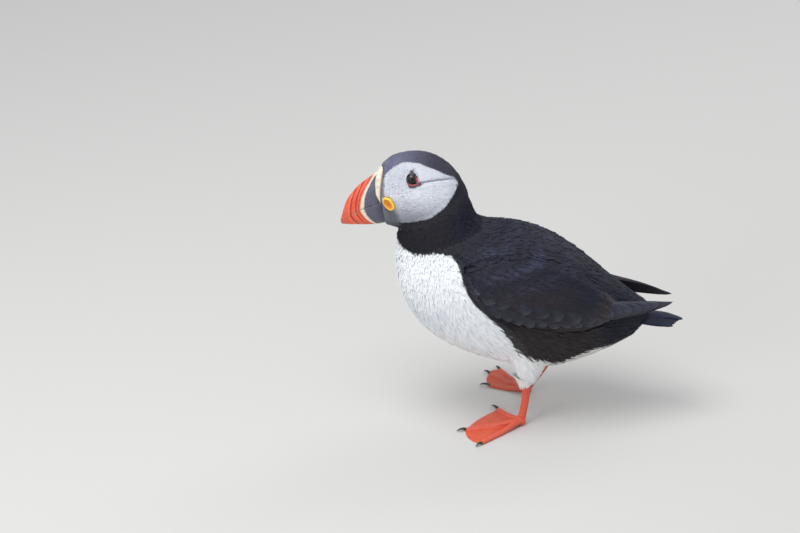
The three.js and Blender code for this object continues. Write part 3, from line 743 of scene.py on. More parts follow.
TAIL_VANE = feather_material(
    "tail feathers", paint(60, 66, 92), 0.55, barbs=95, share=0.25, depth=0.3, shaft=0.5, vary=0.2,
    Specular_IOR_Level=0.2,
)

# %% The skin's own finish, with the same markings as the coat
def skin_material():
    material, tree, shader = new_material("skin under the feathers", 0.8)
    fine = noise(tree, object_place(tree), 1400.0, 3.0)
    # painted shade: the skin shows only between the vanes, so its plumage tint is darkened to 0.62-0.85 of
    # itself
    under_coat_shaded_tint = toned(tree, stored(tree, "tint", "Color"), ramp(tree, fine, 0.3, 0.7, 0.62, 0.85))
    cover(tree, shader, under_coat_shaded_tint, fine, 0.6)
    return material


skin.data.materials.clear()
skin.data.materials.append(skin_material())

# %% [markdown]
# ## Feathers
#
# Two node trees make the coat. The first scatters roots over the skin, evenly and at a chosen
# spacing. The second sets a vane on each root, turns it along the lie of the plumage, and then
# drapes every point of it over the skin, so that long vanes follow the body round and their
# tips end at the outside of the coat.

# %% A tree that scatters roots
GEOMETRY, OBJECT = "NodeSocketGeometry", "NodeSocketObject"


def made_by(tree, kind, inputs, **settings):
    return add_node(tree, kind, inputs, **settings).outputs[0]


def named(tree, name, kind="FLOAT_VECTOR"):
    """What the geometry holds under a name."""
    return made_by(tree, "GeometryNodeInputNamedAttribute", {"Name": name}, data_type=kind)


def make_root_tree():
    tree, given, out = new_group(
        "Roots over a skin",
        {
            "Geometry": (GEOMETRY, None), "Spacing": (FLOAT, 0.002), "Candidates": (FLOAT, 1e6),
            "Seed": ("NodeSocketInt", 1),
        },
        {"Geometry": GEOMETRY},
        "GeometryNodeTree",
    )
    inputs = {
        "Mesh": given["Geometry"], "Distance Min": given["Spacing"], "Density Max": given["Candidates"],
        "Density Factor": named(tree, "grows", "FLOAT"), "Seed": given["Seed"],
    }
    roots = made_by(tree, "GeometryNodeDistributePointsOnFaces", inputs, distribute_method="POISSON")
    tree.links.new(made_by(tree, "GeometryNodePointsToVertices", {"Points": roots}), out["Geometry"])
    return tree


ROOT_TREE = make_root_tree()


def set_inputs(modifier, values):
    """Sets a modifier's inputs, each by the identifier of the socket that has its name."""
    for item in modifier.node_group.interface.items_tree:
        if item.in_out == "INPUT" and item.name in values:
            modifier[item.identifier] = values[item.name]


def scatter_roots(grows, spacing, seed):
    """Roots where grows is over 0, as places in metres, with the skin's map at each."""
    set_attribute(skin.data, "grows", "FLOAT", grows)
    modifier = skin.modifiers.new("roots", "NODES")
    modifier.node_group = ROOT_TREE
    apart_by = spacing * MM
    set_inputs(modifier, {"Spacing": apart_by, "Candidates": 3.2 / apart_by**2, "Seed": seed})
    made = evaluated(skin)
    found = {
        "at": positions(made),
        "normal": unit(get_attribute(made, "skin_normal")),
        "depth": get_attribute(made, "depth"),
        "patch": get_attribute(made, "OFBake")[:, :2],
    }
    skin.modifiers.remove(modifier)
    bpy.data.meshes.remove(made)
    return found

# %% [markdown]
# A vane is a thin closed lens, as long and as wide as one unit. It starts at a point, widens, and
# ends in a tip. Its edge is marked sharp, so that light sees a flat blade and not a pillow.

# %% The shapes of single vanes
def map_points(mesh, name, places):
    """Gives a mesh a map of its own, from one place on the map for each point."""
    corners = np.array([loop.vertex_index for loop in mesh.loops])
    flat = np.asarray(places)[corners].astype(np.float32)
    mesh.uv_layers.new(name=name).data.foreach_set("uv", flat.ravel())


def finish_vane(mesh, points, lens):
    """Stores what the coat's tree asks of a vane: its map, and where its lens is thick."""
    along, across, _ = np.array(points, float).T
    map_points(mesh, "vane", np.column_stack([0.5 + across, along]))
    set_attribute(mesh, "lens", "FLOAT", lens)
    mesh.polygons.foreach_set("use_smooth", [True] * len(mesh.polygons))
    return bpy.data.objects.new(mesh.name, mesh)


def make_vane(name, rows):
    """A vane from rows of (how far along, half the width there), with its tip at 1."""
    points, lens = [(0, 0, 0)], [0.0]
    for along, half in rows:
        points += [(along, -half, 0), (along, 0, 0), (along, half, 0)]
        lens += [0.0, 1.0, 0.0]
    points.append((1, 0, 0))
    lens.append(0.0)
    tip, faces = len(points) - 1, []
    first, last = 1, 1 + 3 * (len(rows) - 1)
    faces += [(0, first, first + 1), (0, first + 1, first + 2), (0, first + 2, first)]
    for a in range(first, last, 3):
        b = a + 3
        faces += [(a, b, b + 1, a + 1), (a + 1, b + 1, b + 2, a + 2), (a, a + 2, b + 2, b)]
    faces += [(last, tip, last + 1), (last + 1, tip, last + 2), (last + 2, tip, last)]
    mesh = bpy.data.meshes.new(name)
    mesh.from_pydata(points, [], faces)
    shape = bmesh.new()
    shape.from_mesh(mesh)
    bmesh.ops.triangulate(shape, faces=shape.faces)
    shape.to_mesh(mesh)
    shape.free()
    for edge in mesh.edges:
        edge.use_edge_sharp = not any(lens[i] for i in edge.vertices)
    return finish_vane(mesh, points, lens)


VANES = {
    "silky": make_vane("vane_silky", [(0.3, 0.46), (0.74, 0.36)]),
    "hair": make_vane("vane_hair", [(0.15, 0.5), (0.62, 0.32)]),
}


# %% A tree that lays a vane on each root
def make_coat_tree():
    tree, given, out = new_group(
        "Vanes over a skin",
        {
            "Geometry": (GEOMETRY, None), "Skin": (OBJECT, None), "Vane": (OBJECT, None),
            "Material": ("NodeSocketMaterial", None), "Thickness": (FLOAT, 0.0002),
            "Camber": (FLOAT, 0.0004), "Base": (FLOAT, 0.0), "Patch": (FLOAT, 0.003),
        },
        {"Geometry": GEOMETRY},
        "GeometryNodeTree",
    )
    vane = add_node(tree, "GeometryNodeObjectInfo", {"Object": given["Vane"], "As Instance": True})
    body = add_node(tree, "GeometryNodeObjectInfo", {"Object": given["Skin"]}).outputs["Geometry"]
    axes = {0: named(tree, "lie"), 1: named(tree, "normal")}
    turn = made_by(tree, "FunctionNodeAxesToRotation", axes, primary_axis="X", secondary_axis="Z")
    standing = made_by(tree, "GeometryNodeInstanceOnPoints", {
        "Points": given["Geometry"], "Instance": vane.outputs["Geometry"], "Rotation": turn,
        "Scale": named(tree, "size"),
    })
    real = made_by(tree, "GeometryNodeRealizeInstances", {0: standing})

    split = apart(tree, named(tree, "vane"))
    off_shaft = minus(tree, split[0], 0.5)
    slope = times(tree, maths(tree, "POWER", split[1], 0.8), minus(tree, 1.0, given["Base"]))
    rise = times(tree, maths(tree, "ADD", slope, given["Base"]), named(tree, "rise", "FLOAT"))
    sag = times(tree, times(tree, off_shaft, off_shaft), given["Camber"])
    lens = times(tree, named(tree, "lens", "FLOAT"), given["Thickness"])
    height = maths(tree, "ADD", minus(tree, rise, times(tree, sag, 4.0)), lens)

    nearest = add_node(tree, "GeometryNodeProximity", {0: body}, target_element="FACES")
    asked = {"Mesh": body, "Value": named(tree, "skin_normal")}
    normal = made_by(tree, "GeometryNodeSampleNearestSurface", asked, data_type="FLOAT_VECTOR")
    up = vector_maths(tree, "NORMALIZE", normal)
    lifted = made_by(tree, "ShaderNodeVectorMath", {0: up, "Scale": height}, operation="SCALE")
    draped = vector_maths(tree, "ADD", nearest.outputs["Position"], lifted)
    moved = made_by(tree, "GeometryNodeSetPosition", {"Geometry": real, "Position": draped})

    spread = vector_maths(tree, "SUBTRACT", named(tree, "vane"), (0.5, 0.5, 0.0))
    small = made_by(tree, "ShaderNodeVectorMath", {0: spread, "Scale": given["Patch"]}, operation="SCALE")
    place = vector_maths(tree, "ADD", named(tree, "patch"), small)
    stamp = {"Geometry": moved, "Name": "OFBake", "Value": place}
    mapped = made_by(tree, "GeometryNodeStoreNamedAttribute", stamp, data_type="FLOAT2", domain="CORNER")
    smooth = made_by(tree, "GeometryNodeSetShadeSmooth", {"Geometry": mapped})
    finished = made_by(tree, "GeometryNodeSetMaterial", {"Geometry": smooth, "Material": given["Material"]})
    tree.links.new(finished, out["Geometry"])
    return tree


COAT_TREE = make_coat_tree()
SCRATCH = ("lie", "normal", "size", "rise", "patch", "lens", "skin_normal", "depth", "grows")


def lay_vanes(name, roots, vane, material, thickness, camber, base=0.0, guide=skin, patch=0.003):
    """A piece of the coat: one vane on every root, draped over the skin or another guide. base is
    the share of its rise that a vane has at its root, so that dense down lies flatter."""
    points = bpy.data.meshes.new(name + "_roots")
    points.from_pydata(roots["at"].tolist(), [], [])
    for key in ("lie", "normal"):
        set_attribute(points, key, "FLOAT_VECTOR", unit(roots[key]))
    set_attribute(points, "size", "FLOAT_VECTOR", roots["size"] * MM)
    set_attribute(points, "rise", "FLOAT", roots["rise"] * MM)
    corner = np.column_stack([roots["patch"], np.zeros(len(roots["patch"]))])
    set_attribute(points, "patch", "FLOAT_VECTOR", corner)
    set_attribute(points, "chance", "FLOAT", roots["chance"])
    set_attribute(points, "tint", "FLOAT_COLOR", np.column_stack([roots["tint"], np.ones(len(corner))]))
    piece = show(name, points)
    modifier = piece.modifiers.new("vanes", "NODES")
    modifier.node_group = COAT_TREE
    set_inputs(modifier, {
        "Skin": guide, "Vane": VANES[vane], "Material": material, "Thickness": thickness * MM,
        "Camber": camber * MM, "Base": base, "Patch": patch,
    })
    piece.data = evaluated(piece)
    piece.modifiers.remove(modifier)
    bpy.data.meshes.remove(points)
    for key in SCRATCH:
        if key in piece.data.attributes:
            piece.data.attributes.remove(piece.data.attributes[key])
    piece.data.uv_layers["OFBake"].active_render = True
    count = sum(len(p.vertices) - 2 for p in piece.data.polygons)
    print(f"{name}: {len(roots['at'])} vanes, {count} triangles")
    return piece

# %% [markdown]
# Feathers lie the way a hand would stroke them: back over the head, down the breast, and along
# the body to the tail. A short list of places with their directions says that, and a direction
# anywhere else is a blend of the nearest of them.

# %% The lie of the plumage
GUIDES = [  # (x, distance from the middle plane, z) and the direction there, in the same order
    ((-88, 2, 189), (0.8, 0.05, 0.5)), ((-62, 0, 197), (1, 0, 0)), ((-42, 0, 185), (0.6, 0, -0.8)),
    ((-86, 9, 176), (1, 0.1, 0.15)), ((-70, 15, 188), (1, 0, 0)), ((-52, 14, 184), (0.95, 0, -0.3)),
    ((-76, 16, 168), (1, 0, -0.1)), ((-58, 18, 168), (0.95, 0, -0.32)), ((-44, 15, 168), (0.6, 0, -0.8)),
    ((-84, 4, 144), (0.9, 0.1, -0.4)), ((-66, 15, 152), (0.9, 0, -0.45)), ((-76, 6, 138), (0.6, 0.1, -0.8)),
    ((-52, 22, 145), (0.55, 0.1, -0.85)), ((-30, 8, 165), (0.4, 0, -0.9)), ((-26, 14, 152), (0.7, 0.1, -0.7)),
    ((-82, 0, 122), (0.05, 0, -1)), ((-72, 20, 110), (0.2, 0.1, -1)), ((-76, 0, 92), (0.4, 0, -0.9)),
    ((-50, 34, 105), (0.35, 0.1, -0.95)), ((-56, 20, 76), (0.65, 0, -0.75)), ((-45, 0, 60), (0.8, 0, -0.6)),
    ((-20, 34, 80), (0.75, 0, -0.65)), ((-10, 0, 44), (1, 0, -0.15)), ((0, 36, 66), (0.75, 0, -0.65)),
    ((25, 30, 60), (0.75, 0, -0.6)), ((40, 0, 42), (1, 0, 0.35)), ((50, 25, 64), (0.9, 0, -0.25)),
    ((75, 12, 60), (1, 0, 0.2)), ((5, 22, 52), (0.45, 0, -0.9)), ((12, 28, 40), (0.4, 0, -0.9)),
    ((-18, 20, 150), (0.85, 0.15, -0.4)), ((0, 0, 152), (1, 0, -0.15)), ((20, 20, 138), (0.95, 0.05, -0.3)),
    ((45, 0, 125), (0.9, 0, -0.4)), ((45, 28, 112), (0.93, -0.05, -0.35)), ((80, 0, 98), (0.85, 0, -0.5)),
    ((0, 45, 112), (0.97, 0, -0.25)), ((-25, 40, 120), (0.9, 0.1, -0.4)), ((30, 42, 92), (0.98, -0.1, -0.15)),
    ((92, 0, 80), (1, 0, -0.1)), ((90, 14, 72), (1, 0, -0.05)),
]


def lie_at(points, up):
    """The direction of the plumage on the skin, for places in the bird's millimetres."""
    places = np.array([g[0] for g in GUIDES], float)
    ways = unit([g[1] for g in GUIDES])
    folded = points.copy()
    folded[:, 1] = np.abs(points[:, 1])
    gap = np.linalg.norm(folded[:, None, :] - places[None], axis=2)
    weight = 1 / (gap + 3) ** 4
    way = (weight[:, :, None] * ways[None]).sum(axis=1)
    way[:, 1] *= np.sign(points[:, 1])
    way -= (way * up).sum(axis=1, keepdims=True) * up
    return unit(way)


# %% Roots of one zone, with everything a vane needs to know
def dress(roots, length, width, seed, yaw, shown=0.6, rise=1.0, ragged=0.15):
    """Adds direction, size and colour to roots. length and width are millimetres or arrays."""
    rng = np.random.default_rng(seed)
    count = len(roots["at"])
    places = to_bird(roots["at"])
    way = lie_at(places, roots["normal"])
    side = np.cross(roots["normal"], way)
    turn = np.radians(rng.normal(0, yaw, count))[:, None]
    way = way * np.cos(turn) + side * np.sin(turn)
    long = length * (1 + ragged * rng.normal(0, 1, count).clip(-2, 2))
    wide = width * (1 + 0.12 * rng.normal(0, 1, count).clip(-2, 2))
    roots["lie"] = way
    roots["size"] = np.column_stack([long, wide, np.ones(count)])
    roots["rise"] = roots["depth"] * rise * (1 + 0.12 * rng.normal(0, 1, count).clip(-2, 2))
    roots["chance"] = rng.random(count)
    roots["tint"] = plumage(places + way * (long * shown)[:, None])
    return roots

# %% [markdown]
# ## The coat, zone by zone
#
# Feathers are shortest on the face, silky and narrow on the breast, and broad with rounded ends
# on the back. Each zone grows on its own part of the skin, and is a piece of its own so that no
# piece grows too heavy.

# %% The arm of the wing: places on it by share of its length and of its height
TRUNK_RIBS = through([
    (-37, 180, -70, 158, 11, 0), (-31.5, 169, -76, 147, 18.5, 0), (-28, 158, -79, 137, 22.5, 0),
    (-23.5, 147.5, -81, 124, 28, 0), (-12, 142, -80, 106, 35.5, 0.02), (3, 141, -74, 87, 41, 0.04),
    (18, 136, -62, 69, 43.5, 0.05), (33, 128.5, -44, 56, 43.5, 0.05), (47, 119, -22, 46.5, 41, 0.04),
    (60, 109, 3, 40, 36.5, 0.03), (72, 100, 28, 38.5, 30, 0.02), (82, 92.5, 50, 45, 22.5, 0),
    (90, 87, 69, 53, 17, 0), (97, 81.5, 84, 61, 10, 0),
])
WING_SPAN = (0.345, 0.8)
WING_TOP = through([[52], [33], [26], [24], [27], [38]])
WING_LOW = through([[90], [94], [94], [92], [88], [76]])
WING_PROUD = 4.9


def trunk_point(t, angle, grow):
    back_x, back_z, belly_x, belly_z, half, lift = TRUNK_RIBS(t)
    middle = np.array([(back_x + belly_x) / 2, (back_z + belly_z) / 2])
    spoke = np.array([back_x - belly_x, back_z - belly_z]) / 2
    spoke *= 1 + grow / np.linalg.norm(spoke)
    upright = math.copysign(abs(math.cos(angle)) ** 0.94, math.cos(angle))
    across = (half + grow) * abs(math.sin(angle)) ** 0.94 * (1 + lift * math.cos(angle))
    return np.array([middle[0] + spoke[0] * upright, across, middle[1] + spoke[1] * upright])


def wing_point(s, v, side):
    """s runs from the shoulder (0) to the arm's end (1), v from the low edge (0) to the top (1)."""
    s_in = min(max(s, 0.0), 1.0)
    low, top = math.radians(WING_LOW(s_in)[0]), math.radians(WING_TOP(s_in)[0])
    t = WING_SPAN[0] + (WING_SPAN[1] - WING_SPAN[0]) * s
    point = trunk_point(t, low + (top - low) * v, WING_PROUD)
    return point * [1, side, 1]


# %% Zones of the coat
BIRD_X, BIRD_Y, BIRD_Z = SKIN_BIRD.T
BARE_EYE = 3.4  # the bare skin round the middle of the eye
RUMP_FROM = 66.0


def on(*names):
    return np.isin(SKIN_OWNER, names).astype(float)


BARE_FACE = blend(1.1, 0.9, np.hypot((BIRD_X - EYE_X) / BARE_EYE, (BIRD_Z - EYE_Z) / BARE_EYE))
FEATHERED = (SKIN_BARE_GAP > 0.5) * (1 - BARE_FACE * (np.abs(BIRD_Y) > 6))
TRUNK = on("back", "belly", "thigh_left", "thigh_right")
WHITE_DOWN = inside(WHITE_PATCH, BIRD_X, BIRD_Z) > -2
UNDERSIDE = (BIRD_Z < 60) * (np.abs(BIRD_Y) < 20)
LIGHT = TRUNK * np.maximum(WHITE_DOWN, UNDERSIDE)
DARK = TRUNK * (1 - LIGHT)
LOW_EDGE = np.array([wing_point(s, 0, 1) for s in np.linspace(0, 1, 14)])
OVER_LOW_EDGE = BIRD_Z - np.interp(BIRD_X, LOW_EDGE[:, 0], LOW_EDGE[:, 2])
MANTLE = on("back", "belly") * (1 - LIGHT) * (BIRD_Z > 95) * (BIRD_X < RUMP_FROM + 4)
VENT = LIGHT * (BIRD_X > 34) * (BIRD_Z < 64)


def zone(name, grows, spacing, seed, size, vane, material, thickness, camber, base=0.0, **dressing):
    """One piece of the coat. size is a vane's length and width, or a function of x and z."""
    roots = scatter_roots(grows, spacing, seed)
    x, _, z = to_bird(roots["at"]).T
    long, wide = size(x, z) if callable(size) else size
    grown = dress(roots, long, wide, seed + 1, **dressing)
    return lay_vanes(name, grown, vane, material, thickness, camber, base)


def face_size(x, z):
    edge = blend(4, 1, np.abs(inside(FACE_PATCH, x, z))) * blend(-74, -66, x)
    return (2.1 + 1.1 * blend(-80, -45, x)) * (1 - 0.35 * edge), 1.15


def collar_hem(x, z):
    """1 on the collar's low edge, where short vanes keep the border with the white clean."""
    return blend(-7, -1.5, inside(WHITE_PATCH, x, z)) * blend(-28, -36, x)


def neck_size(x, z):
    hem = collar_hem(x, z)
    return 4.4 - 2.3 * hem, 1.8 - 0.5 * hem


def breast_size(x, z):
    return (6.5 + 4.5 * blend(-60, 10, x)) * (1 - 0.55 * blend(116, 128, z)), 1.5


def back_size(x, z):
    hem, grown = collar_hem(x, z), blend(-40, 20, x)
    return (7.5 + 4.5 * grown) * (1 - 0.65 * hem), (2.2 + 0.7 * grown) * (1 - 0.4 * hem)


def wing_size(x, z):
    grown = blend(-30, 30, x) * blend(125, 95, z)
    return 6.5 + 3.0 * grown, 2.2 + 1.0 * grown


def breast_zone(name, side, seed):
    grows = LIGHT * (np.sign(BIRD_Y + 1e-6) == side)
    return zone(
        f"breast_coat_{name}", grows, 0.74, seed, breast_size, "silky", DOWN_WHITE, 0.07, 0.2, 0.6,
        yaw=4, shown=0.85,
    )


def wing_zone(name, side):
    grows = on(f"wing_{name}") * (OVER_LOW_EDGE > 11.5)
    return zone(
        f"wing_coverts_{name}", grows, 1.0, 71 + 2 * side, wing_size, "silky", INKY, 0.12, 0.3, 0.4, yaw=4
    )


coat = [
    ("plumage_grey", zone(
        "face_coat", on("head") * FEATHERED, 0.66, 11, face_size, "silky", FACE_VELVET, 0.08, 0.1, 0.5,
        yaw=4, shown=0.8,
    )),
    ("plumage_black", zone(
        "neck_coat", on("neck") * FEATHERED, 0.8, 21, neck_size, "silky", COLLAR, 0.1, 0.2, 0.5,
        yaw=5, shown=0.85,
    )),
    ("plumage_white", breast_zone("left", LEFT, 31)),
    ("plumage_white", breast_zone("right", RIGHT, 33)),
    ("plumage_black", zone("back_coat", MANTLE, 0.95, 41, back_size, "silky", INKY, 0.12, 0.3, 0.45, yaw=4)),
    ("plumage_black", zone(
        "flank_coat", DARK * (BIRD_Z <= 97) * (BIRD_X < RUMP_FROM + 6), 1.05, 51, (10.0, 1.6), "hair", INKY,
        0.14, 0.3, 0.3, yaw=9, shown=0.3, ragged=0.25,
    )),
    ("plumage_black", zone(
        "rump_coat", on("tail", "back", "belly") * (BIRD_X > RUMP_FROM), 1.1, 61, (13.0, 2.8), "silky", INKY,
        0.14, 0.3, yaw=5,
    )),
    # loose white hair at the vent and over the ankles
    ("plumage_white", zone(
        "tufts", np.maximum(VENT, on("thigh_left", "thigh_right") * (BIRD_Z < 42)), 1.3, 65, (10.0, 1.1),
        "hair", DOWN_WHITE, 0.14, 0.2, yaw=12, rise=1.1,
    )),
]
coat += [("plumage_black", wing_zone(name, side)) for name, side in SIDES.items()]
for slot, piece in coat:
    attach(piece, "root")
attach(skin, "root")
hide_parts(*COAT_DEPTH)

# %% [markdown]
# ## Wings and tail
#
# Over the small coverts of the arm lie rows of longer feathers: greater coverts, secondaries and
# the loose tertials at the arm's end. Behind it the primaries are folded into one narrow blade,
# the shortest on the outside and each longer one beneath it, so their tips step towards the end.
# All of them are long vanes laid by the same tree, on the skin or on a hidden guide surface.

# %% A longer vane, with more rows and columns so that it bends smoothly
def make_long_vane(name, rows, columns=7):
    """A vane from rows of (how far along, half the width there)."""
    points, lens, top = [], [], []
    shares = np.linspace(0, 1, columns)
    for along, half in rows:
        for share in shares:
            points.append((along, half * 2 * share - half, 0))
            lens.append(0.0 if share in (0, 1) else float(1 - (2 * share - 1) ** 2) ** 0.5)
    last = len(rows) - 1
    for i in range(last):
        for j in range(columns - 1):
            a, b = i * columns + j, (i + 1) * columns + j
            top.append((a, b, b + 1, a + 1))
    bottom = list(range(len(points)))  # the underside shares the rim with the top
    for k in bottom[:]:
        i, j = divmod(k, columns)
        if 0 < i < last and 0 < j < columns - 1:
            bottom[k] = len(points)
            points.append(points[k])
            lens.append(-0.3)
        elif i in (0, last):
            lens[k] = 0.0
    faces = top + [(bottom[a], bottom[d], bottom[c], bottom[b]) for a, b, c, d in top]
    mesh = bpy.data.meshes.new(name)
    mesh.from_pydata(points, [], faces)
    return finish_vane(mesh, points, lens)


def vane_outline(tip_round, narrow=0.35):
    """Rows of a long vane. tip_round from 0 is a pointed tip and 1 a blunt one."""
    rows = []
    for along in (0, 0.08, 0.2, 0.36, 0.52, 0.66, 0.78, 0.87, 0.935, 0.975, 1.0):
        grow = narrow + (1 - narrow) * min(1.0, along / 0.45) ** 0.7
        end = 1 - (max(0.0, along - 0.55) / 0.45) ** (1.6 + 2.6 * tip_round)
        rows.append((along, 0.5 * grow * max(max(0.0, end) ** 0.62, 0.03)))
    return rows


VANES["blunt"] = make_long_vane("vane_blunt", vane_outline(0.8))
VANES["pointed"] = make_long_vane("vane_pointed", vane_outline(0.15))

# %% Roots given one by one
def search_tree(mesh):
    return BVHTree.FromPolygons([v.co for v in mesh.vertices], [tuple(p.vertices) for p in mesh.polygons])


def rows_of_vanes(rows, tree, side=0):
    """Roots for vanes given one by one, as (root, tip, width, rise, tint)."""
    found = {key: [] for key in ("at", "normal", "lie", "size", "rise", "chance", "tint", "patch")}
    rng = np.random.default_rng(5)
    cells = math.ceil(math.sqrt(len(rows)))
    for k, (root, tip, width, rise, tint) in enumerate(rows):
        root, tip = to_model([root, tip])
        place, normal, _, _ = tree.find_nearest(Vector(root))
        way = tip - np.array(place)
        normal = np.array(normal)
        if normal[1] * side < 0:
            normal = -normal
        found["at"].append(np.array(place))
        found["normal"].append(normal)
        found["lie"].append(unit(way - (way @ normal) * normal))
        found["size"].append((np.linalg.norm(way) / MM, width, 1))
        found["rise"].append(rise)
        found["chance"].append(0.35 + 0.5 * rng.random())
        found["tint"].append(tint)
        found["patch"].append(((k % cells + 0.5) / cells, (k // cells + 0.5) / cells))
    return {key: np.array(values, float) for key, values in found.items()}, 0.86 / cells


# %% The rows on the arm
def arm_rows(side):
    rows = []
    rng = np.random.default_rng(9)
    for k in range(12):  # secondaries, whose blunt ends make the wing's low rear edge
        share = k / 11
        tip = wing_point(lerp(0.30, 0.98, share), lerp(-0.03, 0.14, share**1.5), side)
        root = wing_point(lerp(0.02, 0.62, share), lerp(0.26, 0.5, share), side)
        # a touch of painted blue-grey sheen on the secondaries
        tint = mix(STEEL_SHEEN, INK, 0.9 + 0.1 * math.sin(k * 2.1))
        rows.append((root, tip, 12.5, 1.25 + 0.03 * k, tint))
    for k in range(8):  # greater coverts, broad and round, over their bases
        share = k / 7
        tip = wing_point(lerp(0.2, 0.9, share) + rng.normal(0, 0.015), lerp(0.09, 0.26, share), side)
        root = wing_point(lerp(0.02, 0.62, share), lerp(0.3, 0.56, share), side)
        pale = 0.3 if k == 0 else 0.03 + 0.03 * math.sin(k * 2.6)
        rows.append((root, tip, 17.5, 1.5 + 0.04 * k, mix(INK, PALE_COVERT, pale)))
    for k in range(26):  # tertials, loose, worn and brown at the arm's end
        v = lerp(0.24, 0.96, k / 25)
        tip = wing_point(0.985 + 0.03 * rng.normal(), v - 0.07 + 0.03 * rng.normal(), side)
        root = wing_point(0.7 + 0.05 * rng.normal(), v, side)
        tint = mix(BROWN_WEAR_AND_SHADE, SOOT, 0.5 * rng.random())
        rows.append((root, tip, 5.0, 1.7 + 0.04 * (k % 7), tint))
    return rows


def arm_feathers(name, side):
    roots, patch = rows_of_vanes(arm_rows(side), search_tree(skin.data))
    return lay_vanes(f"wing_rows_{name}", roots, "blunt", FLIGHT, 0.28, 0.9, patch=patch)


# %% Guide surfaces behind the arm and under the tail
BLADE_RIBS = through([
    (34, 35, 40, 98, 84, 2), (50, 28, 34, 100, 80, 2), (64, 22.5, 28.5, 99.5, 76.5, 1.8),
    (78, 18.5, 23, 97, 79, 1.6), (92, 14.5, 17.5, 93.2, 81.8, 1.3), (104, 9.8, 11.5, 89.9, 84.9, 1.1),
    (111.5, 6.8, 7.3, 88, 86.8, 0.9),
])
TAIL_RIBS = through([
    (70, 80, 8, 14, 1), (80, 77, 15, 14, 3), (90, 75, 19, 9, 5), (99, 74.4, 18.5, 4.6, 5),
    (107, 73.4, 15, 2.4, 3.6), (113.5, 71.8, 10, 1.8, 2), (118.6, 70, 4, 1.3, 0.8),
])


def blade_point(t, v, side):
    """t runs from under the arm to the wing's tip, v from the top edge (0) to the low edge (1)."""
    x, out_top, out_low, z_top, z_low, thick = BLADE_RIBS(t)
    chord = np.array([out_low - out_top, z_low - z_top])
    outward = np.array([-chord[1], chord[0]]) / np.linalg.norm(chord)
    bulge = 0.12 * np.linalg.norm(chord) * math.sin(math.pi * min(max(v, 0), 1))
    place = np.array([out_top, z_top]) + chord * v + outward * (bulge - thick * 0.75)
    return np.array([x, side * place[0], place[1]])


def tail_point(t, out):
    """t runs from the rump to the tail's tip, out from the left edge (-1) to the right one (1)."""
    x, z, half, _, roof = TAIL_RIBS(t)
    return np.array([x, half * out, z - roof * out * out])


def guide_surface(name, rows, outward, closed=False):
    """A hidden sheet that vanes are draped on. outward tells which of its sides is up."""
    rows = np.asarray(rows, float)
    mesh = bpy.data.meshes.new(name)
    mesh.from_pydata(to_model(rows.reshape(-1, 3)).tolist(), [], loft_faces(*rows.shape[:2], closed))
    if (normals(mesh) * outward).sum() < 0:
        mesh.flip_normals()
    set_attribute(mesh, "skin_normal", "FLOAT_VECTOR", normals(mesh))
    return bpy.data.objects.new(name, mesh)


def primaries(name, side):
    """Eight folded primaries. The longest is laid first and lies deepest."""
    sheet = [[blade_point(t, v, side) for v in np.linspace(-0.15, 1.15, 13)] for t in np.linspace(0, 1, 30)]
    guide = guide_surface(f"blade_guide_{name}", sheet, (0, side, 0))
    rows = []
    for k in range(8):
        share = k / 7  # 0 is the longest, deepest one
        tip = blade_point(lerp(1.0, 0.40, share**0.9), lerp(0.5, 0.62, share), side)
        root = blade_point(0.0, lerp(0.78, 0.30, share), side)
        # painted sheen: the blades take much of the blue-grey sheen colour
        tint = mix(STEEL_SHEEN, INK, 0.25 + 0.3 * math.sin(k * 2.3))
        # painted shade: the right wing's blade is tinted much darker, brown-black
        tint = mix(tint, BROWN_WEAR_AND_SHADE, 0.8 if side == RIGHT else 0.1)
        rows.append((root, tip, lerp(10.0, 15.5, share), 0.25 + 0.27 * k, tint))
    roots, patch = rows_of_vanes(rows, search_tree(guide.data), side)
    return lay_vanes(f"primary_vanes_{name}", roots, "pointed", FLIGHT, 0.3, 0.0, guide=guide, patch=patch)


def rectrices():
    """Sixteen tail feathers in a shallow roof, the middle pair on top."""
    sheet = [[tail_point(t, out) for out in np.linspace(-1.15, 1.15, 17)] for t in np.linspace(0, 1, 26)]
    guide = guide_surface("tail_guide", sheet, (0, 0, 1))
    rows = []
    for k in range(8):
        share = k / 7  # 0 is the outermost
        for side in SIDES.values():
            out = side * lerp(0.9, 0.08, share)
            reach = lerp(0.78, 0.99, share)
            tip = tail_point(reach, out * lerp(0.9, 0.5, share))
            root = tail_point(0.0, out * 0.75)
            tint = mix(TAIL_BLUE, INK, 0.3 + 0.3 * math.sin(k * 1.9 + side))
            rows.append((root, tip, 10.0, -0.4 + 0.2 * k, tint))
    roots, patch = rows_of_vanes(rows, search_tree(guide.data))
    up = roots["normal"][:, 2:] < 0
    roots["normal"] = np.where(up, -roots["normal"], roots["normal"])
    return lay_vanes("tail_vanes", roots, "pointed", TAIL_VANE, 0.3, 0.4, guide=guide, patch=patch)


for name, side in SIDES.items():
    arm = arm_feathers(name, side)
    blade = primaries(name, side)
    for piece in (arm, blade):
        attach(piece, "root")
    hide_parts(f"primaries_{name}")
tail = rectrices()
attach(tail, "root")

# %% [markdown]
# ## Bill
#
# The bill is horn over bone, flattened like a blade. Three curves draw it from the base to the
# tip: the culmen on top, the gape where it opens, and the keel below. Points of one number lie
# on one band, so every band, ridge and groove is a line of constant u on the bill's own map.

